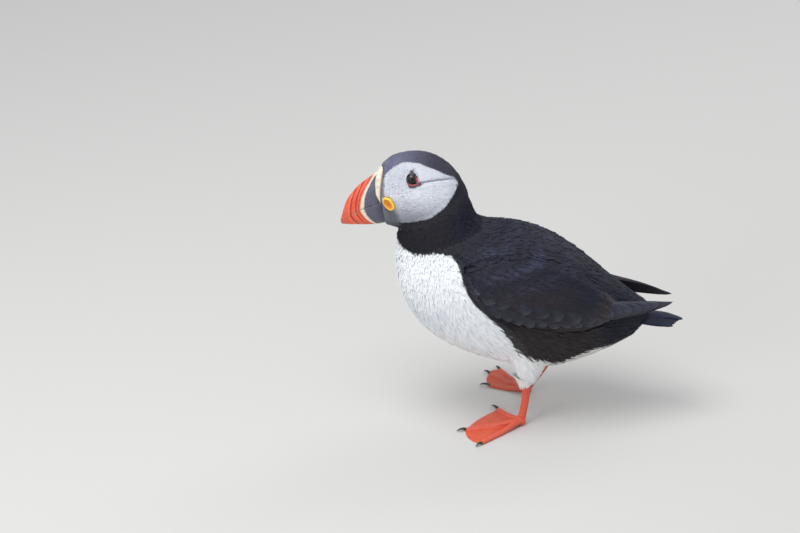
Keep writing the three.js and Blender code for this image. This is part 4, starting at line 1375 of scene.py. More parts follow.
# %% The surface of the bill
CULMEN = through([
    (-88.3, 186.2), (-93.9, 180.6), (-102.6, 173.9), (-107.6, 169), (-114, 159.6), (-118.3, 144.6),
])
GAPE = through([
    (-90.2, 161.6), (-103.2, 155.8), (-107.4, 153), (-110.8, 150.2), (-114.3, 147.2), (-117.7, 143.8),
])
KEEL = through([(-86, 144.2), (-91.7, 143.2), (-97.5, 142.9), (-103.5, 142.8), (-110, 142.8), (-116.9, 143)])
BILL_HALF, BILL_RIDGE, BILL_BOW, BILL_DROP = 7.6, 1.5, 0.42, 0.25
BILL_ROOT, BILL_TIP = -90.2, -117.7  # where the gape starts and ends
CERE_LOW, CERE_TOP = 0.045, 0.15
BILL_BURIED = 2.5  # how far the base runs on into the head
CREAM_RIDGE, FIRST_GROOVE, SECOND_GROOVE, THIRD_GROOVE = 0.2, 0.29, 0.4, 0.6


def bill_relief(u, share):
    """Ridges and grooves of the horn, in millimetres."""
    relief = 0.42 * hump(u, CREAM_RIDGE, 0.022) - 0.35 * hump(u, CREAM_RIDGE + 0.05, 0.02)
    relief -= 0.34 * hump(u, FIRST_GROOVE, 0.018) * blend(0.0, 0.12, share)
    relief -= 0.55 * hump(u, SECOND_GROOVE, 0.022)
    relief -= 0.5 * hump(u, THIRD_GROOVE, 0.024)
    relief += 0.2 * hump(u, 0.345, 0.03) + 0.25 * hump(u, 0.5, 0.045) + 0.15 * hump(u, 0.68, 0.05)
    return relief


def bill_surface(u, v, side, proud):
    """Points for arrays of u, base to tip, and v, keel (-1) by the gape (0) to culmen (1)."""
    u, v = np.broadcast_arrays(np.asarray(u, float), np.asarray(v, float))
    gape = GAPE(u)
    end = np.where((v > 0)[..., None], CULMEN(u), KEEL(u))
    share = np.abs(v)
    reach = np.linalg.norm(end - gape, axis=-1)
    arc = reach * share * (1 - share) * (1 - 0.65 * hump(u, 0, 0.06)) * (1 - 0.5 * u)
    x = gape[..., 0] + (end[..., 0] - gape[..., 0]) * share - BILL_BOW * arc
    z = gape[..., 1] + (end[..., 1] - gape[..., 1]) * share - np.where(v < 0, BILL_DROP * arc, 0)
    taper = np.clip((gape[..., 0] - BILL_TIP) / (BILL_ROOT - BILL_TIP), 0, 1) ** 0.62
    flank = np.sqrt(np.clip(1 - share**2.2, 0, 1))
    ridge = BILL_RIDGE * (0.35 + 0.65 * taper)
    y = ridge * np.sqrt(np.clip(1 - share**9, 0, 1))
    y = y + (BILL_HALF * taper - ridge * 0.6 + bill_relief(u, share)) * flank
    y = y + proud * np.sqrt(np.clip(1 - share**6, 0, 1))
    lift = proud * (z - gape[..., 1]) / np.maximum(reach, 1)
    return np.stack([x - 0.3 * lift, side * np.maximum(y, 0.02), z + lift], axis=-1)


# %% Lengths of the bill as closed pieces with a map of their own
def lofted(name, rings, material):
    mesh = make_mesh(name, *loft(rings))
    mesh.materials.append(material)
    return show(name, mesh)


def mapped_loft(name, rings, map_name, places, ends, material):
    """A piece lofted over rings, with a place on its own map for each point and for both ends."""
    piece = lofted(name, rings, material)
    map_points(piece.data, map_name, np.concatenate([np.array(places).reshape(-1, 2), ends]))
    return piece


def bill_piece(name, u_range, v_range, proud, raise_by, material, steps=72, across=26):
    """A closed length of the bill. Its map holds u from the base, and v from keel to culmen."""
    shares = np.linspace(0, 1, steps)
    vs = np.linspace(*v_range, across)
    if v_range[0] == 0:
        vs = v_range[1] * (1 - (1 - np.linspace(0, 1, across)) ** 1.6)
    if v_range[1] == 0:
        vs = v_range[0] * (1 - np.linspace(0, 1, across)) ** 1.6
    rings, places = [], []
    end = u_range[1](vs) if callable(u_range[1]) else np.full(across, u_range[1])
    for share in shares:
        us = u_range[0] + (end - u_range[0]) * share
        left = bill_surface(us, vs, LEFT, proud(share))
        right = bill_surface(us[::-1], vs[::-1], RIGHT, proud(share))
        rings.append(np.concatenate([left, right]))
        both = np.concatenate([us, us[::-1]]), np.concatenate([vs, vs[::-1]]) * 0.5 + 0.5
        places.append(np.column_stack(both))
    rings = np.array(rings)
    middle = rings[0].mean(axis=0)
    inner = middle + (rings[0] - middle) * [1, 0.8, 0.9] + [BILL_BURIED, 0, 0]
    rings = np.concatenate([[inner], rings])
    places = np.concatenate([[places[0]], places])
    rings[..., 2] += raise_by
    ends = [places[0].mean(axis=0), places[-1].mean(axis=0)]
    return mapped_loft(name, rings, "horn", places, ends, material)


# %% Horn, with growth lines along the bands and fine scratches across them
def make_horn_group():
    tree, given, out = new_group(
        "Growth of horn",
        {
            "Tint": (COLOR, (0.5, 0.5, 0.5, 1)), "Worn Tint": (COLOR, (0.8, 0.7, 0.6, 1)),
            "Lines": (FLOAT, 60.0), "Wear": (FLOAT, 0.3),
        },
        {"Color": COLOR, "Height": FLOAT, "Roughness": FLOAT},
    )
    along, around, _ = apart(tree, own_map(tree, "horn"))
    where = object_place(tree)
    wander = noise(tree, where, 260.0, 4.0)
    bent = maths(tree, "MULTIPLY_ADD", wander, 0.05, along)
    rings = maths(tree, "SINE", times(tree, bent, times(tree, given["Lines"], FULL_TURN)))
    stretched = together(tree, times(tree, along, 9.0), times(tree, around, 70.0))
    scratch = noise(tree, stretched, 1.0, 5.0)
    blotch = noise(tree, where, 420.0, 5.0, 0.65)
    worn = times(tree, ramp(tree, scratch, 0.52, 0.7), given["Wear"])
    patchy = times(tree, ramp(tree, blotch, 0.55, 0.75), times(tree, given["Wear"], 0.7))
    worn = maths(tree, "ADD", worn, patchy, clamp=True)
    horn = toned(tree, given["Tint"], ramp(tree, blotch, 0.3, 0.72, 0.86, 1.08))
    tree.links.new(mix_colour(tree, worn, horn, given["Worn Tint"]), out["Color"])
    tree.links.new(maths(tree, "ADD", times(tree, rings, 0.3), scratch), out["Height"])
    tree.links.new(ramp(tree, blotch, 0.3, 0.7, 0.32, 0.5), out["Roughness"])
    return tree


HORN = make_horn_group()
CREAM = paint(236, 226, 206)
SLATE = paint(84, 84, 104)
SLATE_DARK = paint(62, 62, 76)
RED = paint(232, 84, 58)
RED_DEEP = paint(176, 42, 32)
RED_DULL = paint(206, 92, 72)
ORANGE = paint(240, 116, 70)
BANDS = [  # (place from the base, colour from there on)
    (0.0, SLATE_DARK), (0.07, SLATE), (0.162, SLATE), (0.18, CREAM), (0.218, CREAM), (0.238, ORANGE),
    (0.262, RED), (0.288, RED_DEEP), (0.315, ORANGE), (0.35, RED), (0.385, RED_DEEP), (0.405, RED_DEEP),
    (0.432, ORANGE), (0.47, RED), (0.545, RED), (0.588, RED_DEEP), (0.61, RED_DEEP), (0.645, ORANGE),
    (0.72, RED), (0.97, RED_DULL),
]


def band_material():
    """Bands of the bill, with pale worn lips along the gape."""
    material, tree, shader = new_material("banded horn", 0.36, Coat_Weight=0.25, Coat_Roughness=0.25)
    along, around, _ = apart(tree, own_map(tree, "horn"))
    wander = noise(tree, object_place(tree), 300.0, 3.0)
    bent = maths(tree, "ADD", along, times(tree, minus(tree, wander, 0.5), 0.018))
    bands = add_node(tree, "ShaderNodeValToRGB", {0: bent})
    stops = bands.color_ramp.elements
    for k, (place, colour) in enumerate(BANDS):
        stop = stops[k] if k < 2 else stops.new(place)
        stop.position, stop.color = place, (*colour, 1.0)
    keel = ramp(tree, around, 0.05, 0.085, 1.0, 0.0)
    rims = maths(tree, "MAXIMUM", keel, ramp(tree, around, 0.945, 0.97))
    rims = times(tree, rims, ramp(tree, bent, 0.2, 0.24, 1.0, 0.0))
    banded = mix_colour(tree, rims, bands.outputs["Color"], CREAM)
    gape = maths(tree, "ABSOLUTE", minus(tree, around, 0.5))
    lip = times(tree, ramp(tree, gape, 0.006, 0.026, 0.5, 0.0), ramp(tree, wander, 0.35, 0.6))
    worn_lip = mix_colour(tree, ramp(tree, bent, 0.2, 0.24), paint(128, 122, 140), paint(205, 165, 140))
    lipped = mix_colour(tree, lip, banded, worn_lip)
    wear = ramp(tree, bent, 0.23, 0.27, 0.0, 0.22)
    inputs = {"Tint": lipped, "Worn Tint": paint(244, 158, 122), "Lines": 38.0, "Wear": wear}
    found = place_group(tree, HORN, inputs)
    tree.links.new(found["Roughness"], shader.inputs["Roughness"])
    cover(tree, shader, found["Color"], found["Height"], 0.3, 0.00015)
    return material


def cere_material():
    """The soft cream rim, pricked with rows of small pits."""
    material, tree, shader = new_material("pitted cream rim", 0.5, Subsurface_Weight=0.06)
    where = object_place(tree)
    pits = net_of_cells(tree, where, 1100.0, "F1")
    base = mix_colour(tree, ramp(tree, noise(tree, where, 350.0, 4.0), 0.4, 0.7), CREAM, paint(220, 200, 174))
    tint = mix_colour(tree, ramp(tree, pits, 0.0, 0.28, 0.5, 0.0), base, paint(150, 118, 96))
    back = ramp(tree, apart(tree, own_map(tree, "horn"))[0], 0.004, 0.012, 0.8, 0.0)
    cover(tree, shader, mix_colour(tree, back, tint, paint(150, 128, 110)), pits, 0.5, 0.0003)
    return material


BANDED_HORN = band_material()
GAPE_GAP = 0.12
upper = bill_piece("bill_upper", (0.03, 0.988), (0, 1), lambda s: 0.0, GAPE_GAP, BANDED_HORN)
lower = bill_piece("bill_lower", (0.0, 0.988), (-1, 0), lambda s: 0.0, -GAPE_GAP, BANDED_HORN)


def rim_end(v):
    """The rim is narrow by the gape and wide where it meets the culmen."""
    return CERE_LOW * blend(-0.1, 0.35, v) + (CERE_TOP - CERE_LOW) * v**3


def rim_swell(share):
    return math.sin(math.pi * (0.08 + 0.86 * share)) ** 0.7


rim = bill_piece("bill_rim", (0.0, rim_end), (0, 1), rim_swell, GAPE_GAP, cere_material(), 14, 40)
for piece, nodes, slot in (
    (upper, ("bill_upper_base", "bill_upper_tip"), "bill_red"),
    (lower, ("bill_lower_base", "bill_lower_tip"), "bill_red"),
    (rim, ("bill_cere",), "bill_cream"),
):
    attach(piece, "root")
    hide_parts(*nodes)

# %% [markdown]
# ## Face
#
# The eye is a wet dark ball, sunk in a ring of bare red skin. Over it stands a small triangle of
# blue-grey horn and under it a bar of the same. At the corner of the mouth is a soft rosette of
# wrinkled yellow skin, which lets the bill open wide. All of them sit on the curve of the cheek.

# %% Places on the cheek
HEAD_RIBS = through([
    (-91.5, 184.5, 143.5, 7.2, 0.1), (-88, 189.5, 143.2, 11, 0.14), (-82, 193.8, 142, 14.6, 0.16),
    (-73, 196.2, 140.5, 17.2, 0.16), (-62, 196.4, 141, 18.6, 0.14), (-52, 192.8, 145, 18.4, 0.1),
    (-43, 186.2, 151, 15.6, 0.05), (-36.5, 178.5, 158.5, 10, 0),
])


def on_cheek(x, z, side, proud):
    """A point on the side of the head at x and z, proud of its surface."""
    low, high = 0.0, 1.0
    for _ in range(30):
        t = (low + high) / 2
        low, high = (t, high) if HEAD_RIBS(t)[0] < x else (low, t)
    _, top, bottom, half, cheek = HEAD_RIBS(low)
    c = np.clip((2 * z - top - bottom) / (top - bottom), -1, 1)
    cos = math.copysign(abs(c) ** (1 / 0.95), c)
    sin = math.sqrt(max(0.0, 1 - cos * cos))
    return np.array([x, side * (half * sin**0.9 * (1 - cheek * cos) + proud), z])


def smooth_outline(corners, count=48):
    """A closed smooth line through corners, as (x, z) offsets."""
    loop = np.array([*corners[-2:], *corners, *corners[:3]], float)
    curve = through(loop)
    last = len(loop) - 1
    return curve((2 + np.arange(count) / count * len(corners)) / last)


def cheek_patch(name, outline, side, dome, material):
    """A domed plate by the eye, inside an outline round the eye's middle. dome gives its height."""
    middle = outline.mean(axis=0)
    rows = []
    for share in [1.0, *np.linspace(1, 0.06, 9) ** 0.8]:
        height = dome(1 - share) if rows else -1.0  # its first ring is sunk into the cheek
        places = middle + (outline - middle) * share
        rows.append([on_cheek(EYE_X + px, EYE_Z + pz, side, height) for px, pz in places])
    return lofted(name, rows, material)


# %% Bare skin and horn of the face
def plate_material():
    """Dark horn, with wrinkles that hold a deeper tint."""
    material, tree, shader = new_material("plate horn", 0.55)
    where = object_place(tree)
    fine = noise(tree, where, 900.0, 5.0, 0.6)
    lines = ramp(tree, net_of_cells(tree, where, 1440.0), 0.0, 0.12, 1.0, 0.0)
    mottle = ramp(tree, fine, 0.45, 0.75, 0.0, 0.6)
    share = maths(tree, "ADD", times(tree, lines, 0.45), mottle, clamp=True)
    colour = mix_colour(tree, share, paint(84, 78, 92), paint(40, 36, 44))
    cover(tree, shader, colour, minus(tree, fine, lines), 0.5)
    return material


def ring_material():
    """Red bare skin, grown over in front and above by the dark horn of the plate."""
    material, tree, shader = new_material("red ring skin", 0.45)
    fine = noise(tree, object_place(tree), 1300.0, 5.0)
    flesh = mix_colour(tree, ramp(tree, fine, 0.4, 0.75), paint(200, 72, 74), paint(136, 26, 34))
    cover(tree, shader, mix_colour(tree, stored(tree, "red"), paint(50, 44, 54), flesh), fine, 0.5)
    return material


def eye_material():
    """A black pupil in a dark brown iris, read from the ball's own map."""
    material, tree, shader = new_material("wet eye", 0.08, Coat_Weight=0.3, Coat_Roughness=0.02, IOR=1.34)
    turn, out_share, _ = apart(tree, own_map(tree, "eye"))
    rays = together(tree, times(tree, turn, 60.0), times(tree, out_share, 4.0))
    iris = mix_colour(tree, noise(tree, rays, 1.0, 3.0), paint(34, 26, 25), paint(66, 52, 48))
    pupil = ramp(tree, out_share, 0.155, 0.175, 1.0, 0.0)
    dark = maths(tree, "MAXIMUM", pupil, ramp(tree, out_share, 0.26, 0.31))
    seen = mix_colour(tree, dark, iris, paint(9, 8, 9))
    tree.links.new(seen, shader.inputs["Base Color"])
    return material


PLATE_HORN, RING_SKIN, WET_EYE = plate_material(), ring_material(), eye_material()
PLATES = {
    "upper": [
        (-0.1, 6.3), (0.95, 4.7), (2.0, 3.1), (3.3, 1.7), (3.9, 0.3), (3, -0.8), (0, -0.8), (-3.2, -0.8),
        (-3.6, 0.3), (-3.1, 1.4), (-2.2, 2.9), (-1.15, 4.9),
    ],
    "lower": [
        (-2.9, -1.9), (-2.7, -3.6), (-1.9, -5.0), (-0.5, -5.2), (1.3, -4.8), (4.1, -3.6), (6.2, -2.3),
        (5.6, -1.5), (3.2, -1.9), (0, -2.4),
    ],
}
EYE_RADIUS, EYE_SUNK = 4.35, 3.0
RING_RADIUS, RING_THICK = 3.32, 0.46


def make_eye(name, side):
    """A ball with a cornea that bulges a little, its pole turned outwards and slightly forward."""
    centre = on_cheek(EYE_X, EYE_Z, side, -EYE_SUNK)
    out = unit([-0.12, side, 0.05])
    across = unit(np.cross(out, [0, 0, 1]))
    up = np.cross(across, out)
    turn = circle(40)
    ring = np.cos(turn)[:, None] * across + np.sin(turn)[:, None] * up
    rings, places = [], []
    for share in np.linspace(0.004, 0.996, 30):
        angle = share * math.pi
        radius = EYE_RADIUS + 0.35 * hump(angle, 0, 0.55)
        rings.append(centre + out * radius * math.cos(angle) + ring * radius * math.sin(angle))
        places.append(np.column_stack([turn / (2 * math.pi), np.full(len(turn), share)]))
    return mapped_loft(f"eyeball_{name}", rings, "eye", places, [(0.5, 0), (0.5, 1)], WET_EYE)


def round_hump(turn, degrees, wide):
    """1 at an angle, falling off to both sides of it on the way round."""
    return hump((turn - math.radians(degrees) + math.pi) % (2 * math.pi) - math.pi, 0, wide)


def make_ring(name, side):
    """The ring of bare skin: round in front, and drawn out to a corner low behind."""
    rows = []
    turns = np.linspace(0, 2 * math.pi, 72, endpoint=False)
    loop = np.linspace(0, 2 * math.pi, 12, endpoint=False)
    lift = np.array([0, side, 0])
    for turn in turns:
        radius = RING_RADIUS + 1.5 * round_hump(turn, 334, 0.33) + 0.3 * round_hump(turn, 100, 0.5)
        thick = RING_THICK + 0.03 * math.sin(turn * 17) + 0.1 * hump(turn, math.radians(265), 0.8)
        outward = np.array([math.cos(turn), 0, math.sin(turn)])
        core = on_cheek(EYE_X + radius * math.cos(turn), EYE_Z + radius * math.sin(turn), side, 0.25)
        for a in loop:
            rows.append(core + outward * thick * math.cos(a) * 1.05 + lift * thick * math.sin(a) * 0.85)
    around = len(loop)
    faces = loft_faces(len(turns), around)
    last = (len(turns) - 1) * around
    faces += [(last + j, j, (j + 1) % around, last + (j + 1) % around) for j in range(around)]
    mesh = make_mesh(f"eye_skin_ring_{name}", np.array(rows), faces)
    turns = np.degrees(np.repeat(turns, around))
    set_attribute(mesh, "red", "FLOAT", np.maximum(blend(205, 235, turns), blend(62, 20, turns)))
    mesh.materials.append(RING_SKIN)
    return show(f"eye_skin_ring_{name}", mesh)


def plate_dome(share):
    return -0.15 + 0.75 * min(1, share * 2.2) ** 0.5


for name, side in SIDES.items():
    eyeball, ring = make_eye(name, side), make_ring(name, side)
    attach(eyeball, "root")
    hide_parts(f"eye_{name}")
    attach(ring, "root")
    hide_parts(f"eye_ring_{name}")
    for where, corners in PLATES.items():
        outline = smooth_outline(corners)
        plate = cheek_patch(f"horn_plate_{where}_{name}", outline, side, plate_dome, PLATE_HORN)
        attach(plate, "root")
        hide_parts(f"eye_plate_{where}_{name}")
print("face pieces made")

# %% The rosette at the corner of the mouth
ROSETTE = {"x": -84.9, "z": 163.2, "long": 5.2, "short": 3.5, "tilt": 42}


def rosette_material():
    """Yellow at the rim and orange in the middle, folded all the way round."""
    material, tree, shader = new_material("rosette skin", 0.42, Subsurface_Weight=0.1, Coat_Weight=0.15)
    out_share = apart(tree, own_map(tree, "fold"))[1]
    fine = noise(tree, object_place(tree), 1500.0, 4.0)
    out_share = maths(tree, "ADD", out_share, times(tree, minus(tree, fine, 0.5), 0.2))
    inner = mix_colour(tree, ramp(tree, out_share, 0.1, 0.4), paint(190, 96, 20), paint(222, 132, 16))
    tint = mix_colour(tree, ramp(tree, out_share, 0.66, 0.84), inner, paint(250, 196, 66))
    cover(tree, shader, tint, fine, 0.4)
    return material


ROSETTE_SKIN = rosette_material()


def make_rosette(name, side):
    centre = on_cheek(ROSETTE["x"], ROSETTE["z"], side, -0.1)
    tilt, yaw = math.radians(ROSETTE["tilt"]), side * math.radians(30)
    spin = np.array([[math.cos(yaw), -math.sin(yaw), 0], [math.sin(yaw), math.cos(yaw), 0], [0, 0, 1]])
    long_way = spin @ [math.cos(tilt), 0, -math.sin(tilt)]
    short_way = spin @ [math.sin(tilt), 0, math.cos(tilt)]
    out = spin @ [0, side, 0]
    rings, places = [], []
    turn = circle(80)
    for share in (1.0, 1.02, 1.0, 0.95, 0.88, 0.8, 0.7, 0.58, 0.45, 0.3, 0.16, 0.05):
        rim_height = 1.25 * hump(share, 0.84, 0.17) + 0.45 * (1 - share)
        folds = 0.16 * np.sin(turn * 21 + 2 * np.sin(turn * 3)) * hump(share, 0.75, 0.22)
        height = rim_height + folds if rings else np.full(len(turn), -1.6)
        spread = share * (1 + 0.03 * np.sin(turn * 5 + side))
        ring = centre + (np.cos(turn) * spread)[:, None] * long_way * ROSETTE["long"]
        ring = ring + (np.sin(turn) * spread)[:, None] * short_way * ROSETTE["short"] + height[:, None] * out
        rings.append(ring)
        places.append(np.column_stack([turn / (2 * math.pi), np.full(len(turn), share)]))
    ends = [(0.5, 1), (0.5, 0)]
    return mapped_loft(f"mouth_rosette_{name}", rings, "fold", places, ends, ROSETTE_SKIN)


for name, side in SIDES.items():
    piece = make_rosette(name, side)
    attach(piece, "root")
    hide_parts(f"rosette_{name}")

# %% [markdown]
# ## Legs and feet
#
# Each foot is three toes, a heel and the web between them, remade as one skin and worked over
# with scutes: rows of small plates across the toes and down the shank. The web stays thin and is
# folded a little along the way the toes point.

# %% Where the legs stand and the toes point
LEGS = {
    "left": {
        "side": LEFT, "ankle": (10.5, 22, 31), "joint": (6.9, 22.5, 4), "turn": 14, "spread": 1,
        "painted_shade": 1.0,  # painted shade: times the tints of the skin
    },
    "right": {
        "side": RIGHT, "ankle": (27, 25, 27.5), "joint": (12.4, 28, 4), "turn": 50, "spread": 0.4,
        # painted shade: the right foot's skin is tinted darker, for the shadow of the bird's body
        "painted_shade": 0.8,
    },
}
TOES = {"inner": (-70, 29, 6.5), "middle": (0, 41, 5), "outer": (34, 43, 4.5)}  # angle, length, claw
KNUCKLES = {"inner": (0.5,), "middle": (0.38, 0.7), "outer": (0.28, 0.52, 0.76)}
TOE_ROOT, TOE_TIP = 2.25, 1.4
WEB_THICK, WEB_BULGE = 0.85, 0.2


def beside(place, side):
    return np.array(place, float) * [1, side, 1]


def toe_way(leg, angle):
    a = math.radians(leg["turn"] + angle * leg["spread"])
    return np.array([-math.cos(a), leg["side"] * math.sin(a), 0])


def toe_axis(leg, toe, shares):
    """Places along the middle of a toe, from the joint down to the floor and out to its tip."""
    angle, length, _ = TOES[toe]
    joint = beside(leg["joint"], leg["side"])
    places = joint + np.asarray(shares)[:, None] * length * toe_way(leg, angle)
    drop = blend(0, 1, np.minimum(1, np.asarray(shares) * 1.6))
    places[:, 2] = joint[2] * 0.8 * (1 - drop) + 0.78 * TOE_TIP * drop
    return places


def toe_radius(toe, shares):
    radius = TOE_ROOT + (TOE_TIP - TOE_ROOT) * np.asarray(shares, float)
    for knuckle in KNUCKLES[toe]:
        radius = radius + 0.28 * hump(shares, knuckle, 0.05)
    return radius * (1 - 0.5 * blend(0.94, 1.0, shares))


def tube_rings(path, radius, around, flat):
    """Rings round a path that stay upright, wide by radius and high by radius times flat."""
    path = np.asarray(path, float)
    ways = unit(np.gradient(path, axis=0))
    across = unit(np.cross(ways, [0, 0, 1]))
    up = np.cross(across, ways)
    turn = circle(around)
    radius = np.broadcast_to(radius, len(path))[:, None, None]
    ring = np.cos(turn)[None, :, None] * across[:, None, :]
    return path[:, None, :] + radius * (ring + flat * np.sin(turn)[None, :, None] * up[:, None, :])


# %% The web, the heel and one skin over them all
def web_sheet(leg, first, second):
    """The sheet between two toes, with a full rounded edge and shallow folds from the joint."""
    joint = beside(leg["joint"], leg["side"]) * [1, 1, 0]
    steps, across = 34, 26
    ends = [joint + toe_way(leg, TOES[toe][0]) * TOES[toe][1] * 0.97 for toe in (first, second)]
    top, under = [], []
    for i in range(steps):
        s = 0.06 + 0.94 * i / (steps - 1)
        for j in range(across):
            w = j / (across - 1)
            edge = ends[0] * (1 - w) + ends[1] * w - joint
            edge = edge + 2 * w * (1 - w) * WEB_BULGE * ((ends[0] + ends[1]) / 2 - joint)
            place = joint + edge * s
            folds = 0.1 * math.sin(w * 24 + 2.5 * math.sin(s * 5)) * s
            thick = WEB_THICK * (1 + 0.5 * (1 - s)) + folds * (4 * w * (1 - w)) ** 0.5
            thick *= 1 - 0.45 * blend(0.93, 1, s)
            top.append(place + [0, 0, float(thick)])
            under.append(place)
    count = steps * across
    faces = loft_faces(steps, across, closed=False)
    faces += [tuple(count + k for k in reversed(f)) for f in loft_faces(steps, across, closed=False)]
    border = list(range(across)) + [i * across + across - 1 for i in range(1, steps)]
    border += [(steps - 1) * across + j for j in range(across - 2, -1, -1)]
    border += [i * across for i in range(steps - 2, 0, -1)]
    for a, b in zip(border, border[1:] + border[:1]):
        faces.append((a, b, count + b, count + a))
    return np.array(top + under), faces


def shank_axis(leg, t):
    ankle, joint = beside(leg["ankle"], leg["side"]), beside(leg["joint"], leg["side"])
    places = mix(ankle, joint, t)
    places[:, 0] += 0.8 * np.sin(math.pi * np.clip(t, 0, 1))
    return places


def shank_rings(leg):
    t = np.linspace(-0.16, 1.04, 60)
    dome = np.sqrt(1 - (np.clip(-0.02 - t, 0, 1) / 0.145) ** 2)  # the ankle's rounded top
    swell = 1 + 0.28 * hump(np.clip(t, 0, 1), 0, 0.16) + 0.16 * hump(1 - t, 0, 0.14)
    turn = circle(36)
    centre = shank_axis(leg, t)
    ring = np.stack([np.cos(turn) * 2.75, np.sin(turn) * 1.8, np.zeros(len(turn))], 1)
    return centre[:, None, :] + ring[None] * (swell * dome)[:, None, None]


FOOT_GRAIN = 0.42


def make_foot(name, leg):
    shares = np.linspace(0, 1, 40)
    parts = [loft(tube_rings(toe_axis(leg, toe, shares), toe_radius(toe, shares), 14, 0.92)) for toe in TOES]
    parts += [web_sheet(leg, "inner", "middle"), web_sheet(leg, "middle", "outer")]
    parts.append(ball(beside(leg["joint"], leg["side"]) * [1, 1, 0] + [0.4, 0, 2.7], 2.95, 14, 24))
    parts.append(loft(shank_rings(leg)))
    return even_piece(f"leg_{name}", parts, FOOT_GRAIN)

# %% [markdown]
# Scutes are pressed into the finished skin. Along a toe they are narrow plates that run across
# it, and up the shank they become two staggered rows in front and small round scales behind.

# %% Scutes on toes and shank
TOE_PLATE, SHANK_PLATE = 1.35, 2.1  # millimetres from furrow to furrow


def plate_rows(along, size):
    """1 in the middle of a plate and 0 in the furrow between two."""
    return np.abs(np.sin(math.pi * along / size)) ** 0.45


def press_scutes(piece, leg):
    mesh = piece.data
    points = to_bird(positions(mesh))
    ways = normals(mesh)
    lines = edges_of(mesh)
    smooth = relax(points, lines, 5, 0.5)
    smooth = relax(smooth, lines, 2, -0.4)
    ridge = np.zeros(len(points))
    relief = np.zeros(len(points))
    shares = np.linspace(0, 1, 30)
    for toe in TOES:
        axis = toe_axis(leg, toe, shares)
        lengths = np.concatenate([[0], np.cumsum(np.linalg.norm(np.diff(axis, axis=0), axis=1))])
        gap, stretch, share = nearest_on(axis, smooth)
        along = lengths[stretch] + share * (lengths[stretch + 1] - lengths[stretch])
        on = blend(3.1, 1.7, gap)
        ridge = np.maximum(ridge, on * blend(0.0, 0.9, smooth[:, 2] / 2.0))
        relief = np.maximum(relief, on * plate_rows(along, TOE_PLATE))
    t = np.clip((leg["ankle"][2] - smooth[:, 2]) / (leg["ankle"][2] - leg["joint"][2]), 0, 1)
    centre = shank_axis(leg, t)
    turn = np.arctan2(smooth[:, 1] - centre[:, 1], -(smooth[:, 0] - centre[:, 0]))
    stagger = np.where(turn > 0, 0.0, 0.5)
    front = blend(2.4, 1.4, np.abs(turn))
    scales = plate_rows(smooth[:, 2] + stagger * SHANK_PLATE, SHANK_PLATE)
    scales *= np.abs(np.sin(turn * 1.5 + 1e-3)) ** 0.3
    behind = np.abs(np.sin(smooth[:, 2] * 2.6 + 1.5 * np.sin(turn * 6))) ** 0.5
    on_shank = blend(4.5, 8.5, smooth[:, 2])
    relief = relief * (1 - on_shank) + on_shank * (scales * front + behind * (1 - front) * 0.8)
    smooth = smooth + ways * (0.17 * (relief - 0.5) * np.maximum(on_shank, ridge))[:, None]
    smooth[:, 2] = np.maximum(smooth[:, 2], 0.03)
    set_positions(mesh, to_model(smooth))
    mesh.polygons.foreach_set("use_smooth", [True] * len(mesh.polygons))
    set_attribute(mesh, "ridge", "FLOAT", np.maximum(ridge, on_shank * 0.6))
    set_attribute(mesh, "furrow", "FLOAT", (1 - relief) * np.maximum(on_shank, ridge))


# %% Skin of the feet
def make_net_group():
    """The net of tiny scales on a web, as a tint share and a height."""
    tree, given, out = new_group(
        "Net of small scales",
        {"Scale": (FLOAT, 1500.0), "Line": (FLOAT, 0.1)},
        {"Lines": FLOAT, "Height": FLOAT, "Patches": FLOAT},
    )
    where = object_place(tree)
    lines = ramp(tree, net_of_cells(tree, where, given["Scale"]), 0.0, given["Line"], 1.0, 0.0)
    fine = noise(tree, where, 2600.0, 2.0)
    tree.links.new(lines, out["Lines"])
    tree.links.new(minus(tree, times(tree, fine, 0.4), lines), out["Height"])
    tree.links.new(noise(tree, where, 190.0, 5.0, 0.6), out["Patches"])
    return tree


NET = make_net_group()
WEB_RED, WEB_ORANGE = paint(228, 78, 44), paint(236, 98, 56)
TOE_PINK, LINE_RED, FURROW_RED = paint(244, 116, 92), paint(176, 52, 30), paint(168, 50, 34)


def foot_material(name, painted_shade):
    """Orange-red skin, paler along the toes and darker in every furrow."""
    finish = {"Subsurface_Weight": 0.05, "Coat_Weight": 0.15, "Coat_Roughness": 0.35}
    material, tree, shader = new_material(name, 0.42, **finish)
    net = place_group(tree, NET, {"Scale": 1250.0, "Line": 0.12})
    # every tint is multiplied by the painted shade, which darkens the right foot
    web = mix_colour(tree, ramp(tree, net["Patches"], 0.35, 0.68), WEB_RED * painted_shade, WEB_ORANGE * painted_shade)
    skin_tone = mix_colour(tree, times(tree, stored(tree, "ridge"), 0.6), web, TOE_PINK * painted_shade)
    lined = mix_colour(tree, times(tree, net["Lines"], 0.32), skin_tone, LINE_RED * painted_shade)
    deep = mix_colour(tree, times(tree, stored(tree, "furrow"), 0.55), lined, FURROW_RED * painted_shade)
    cover(tree, shader, deep, net["Height"], 0.5, 0.00018)
    return material


def claw_material():
    material, tree, shader = new_material("black claw", 0.3, Coat_Weight=0.3)
    grain = noise(tree, object_place(tree), 900.0, 5.0)
    tint = mix_colour(tree, ramp(tree, grain, 0.4, 0.7), paint(24, 24, 28), paint(62, 58, 60))
    cover(tree, shader, tint, grain, 0.3)
    return material


BLACK_CLAW = claw_material()


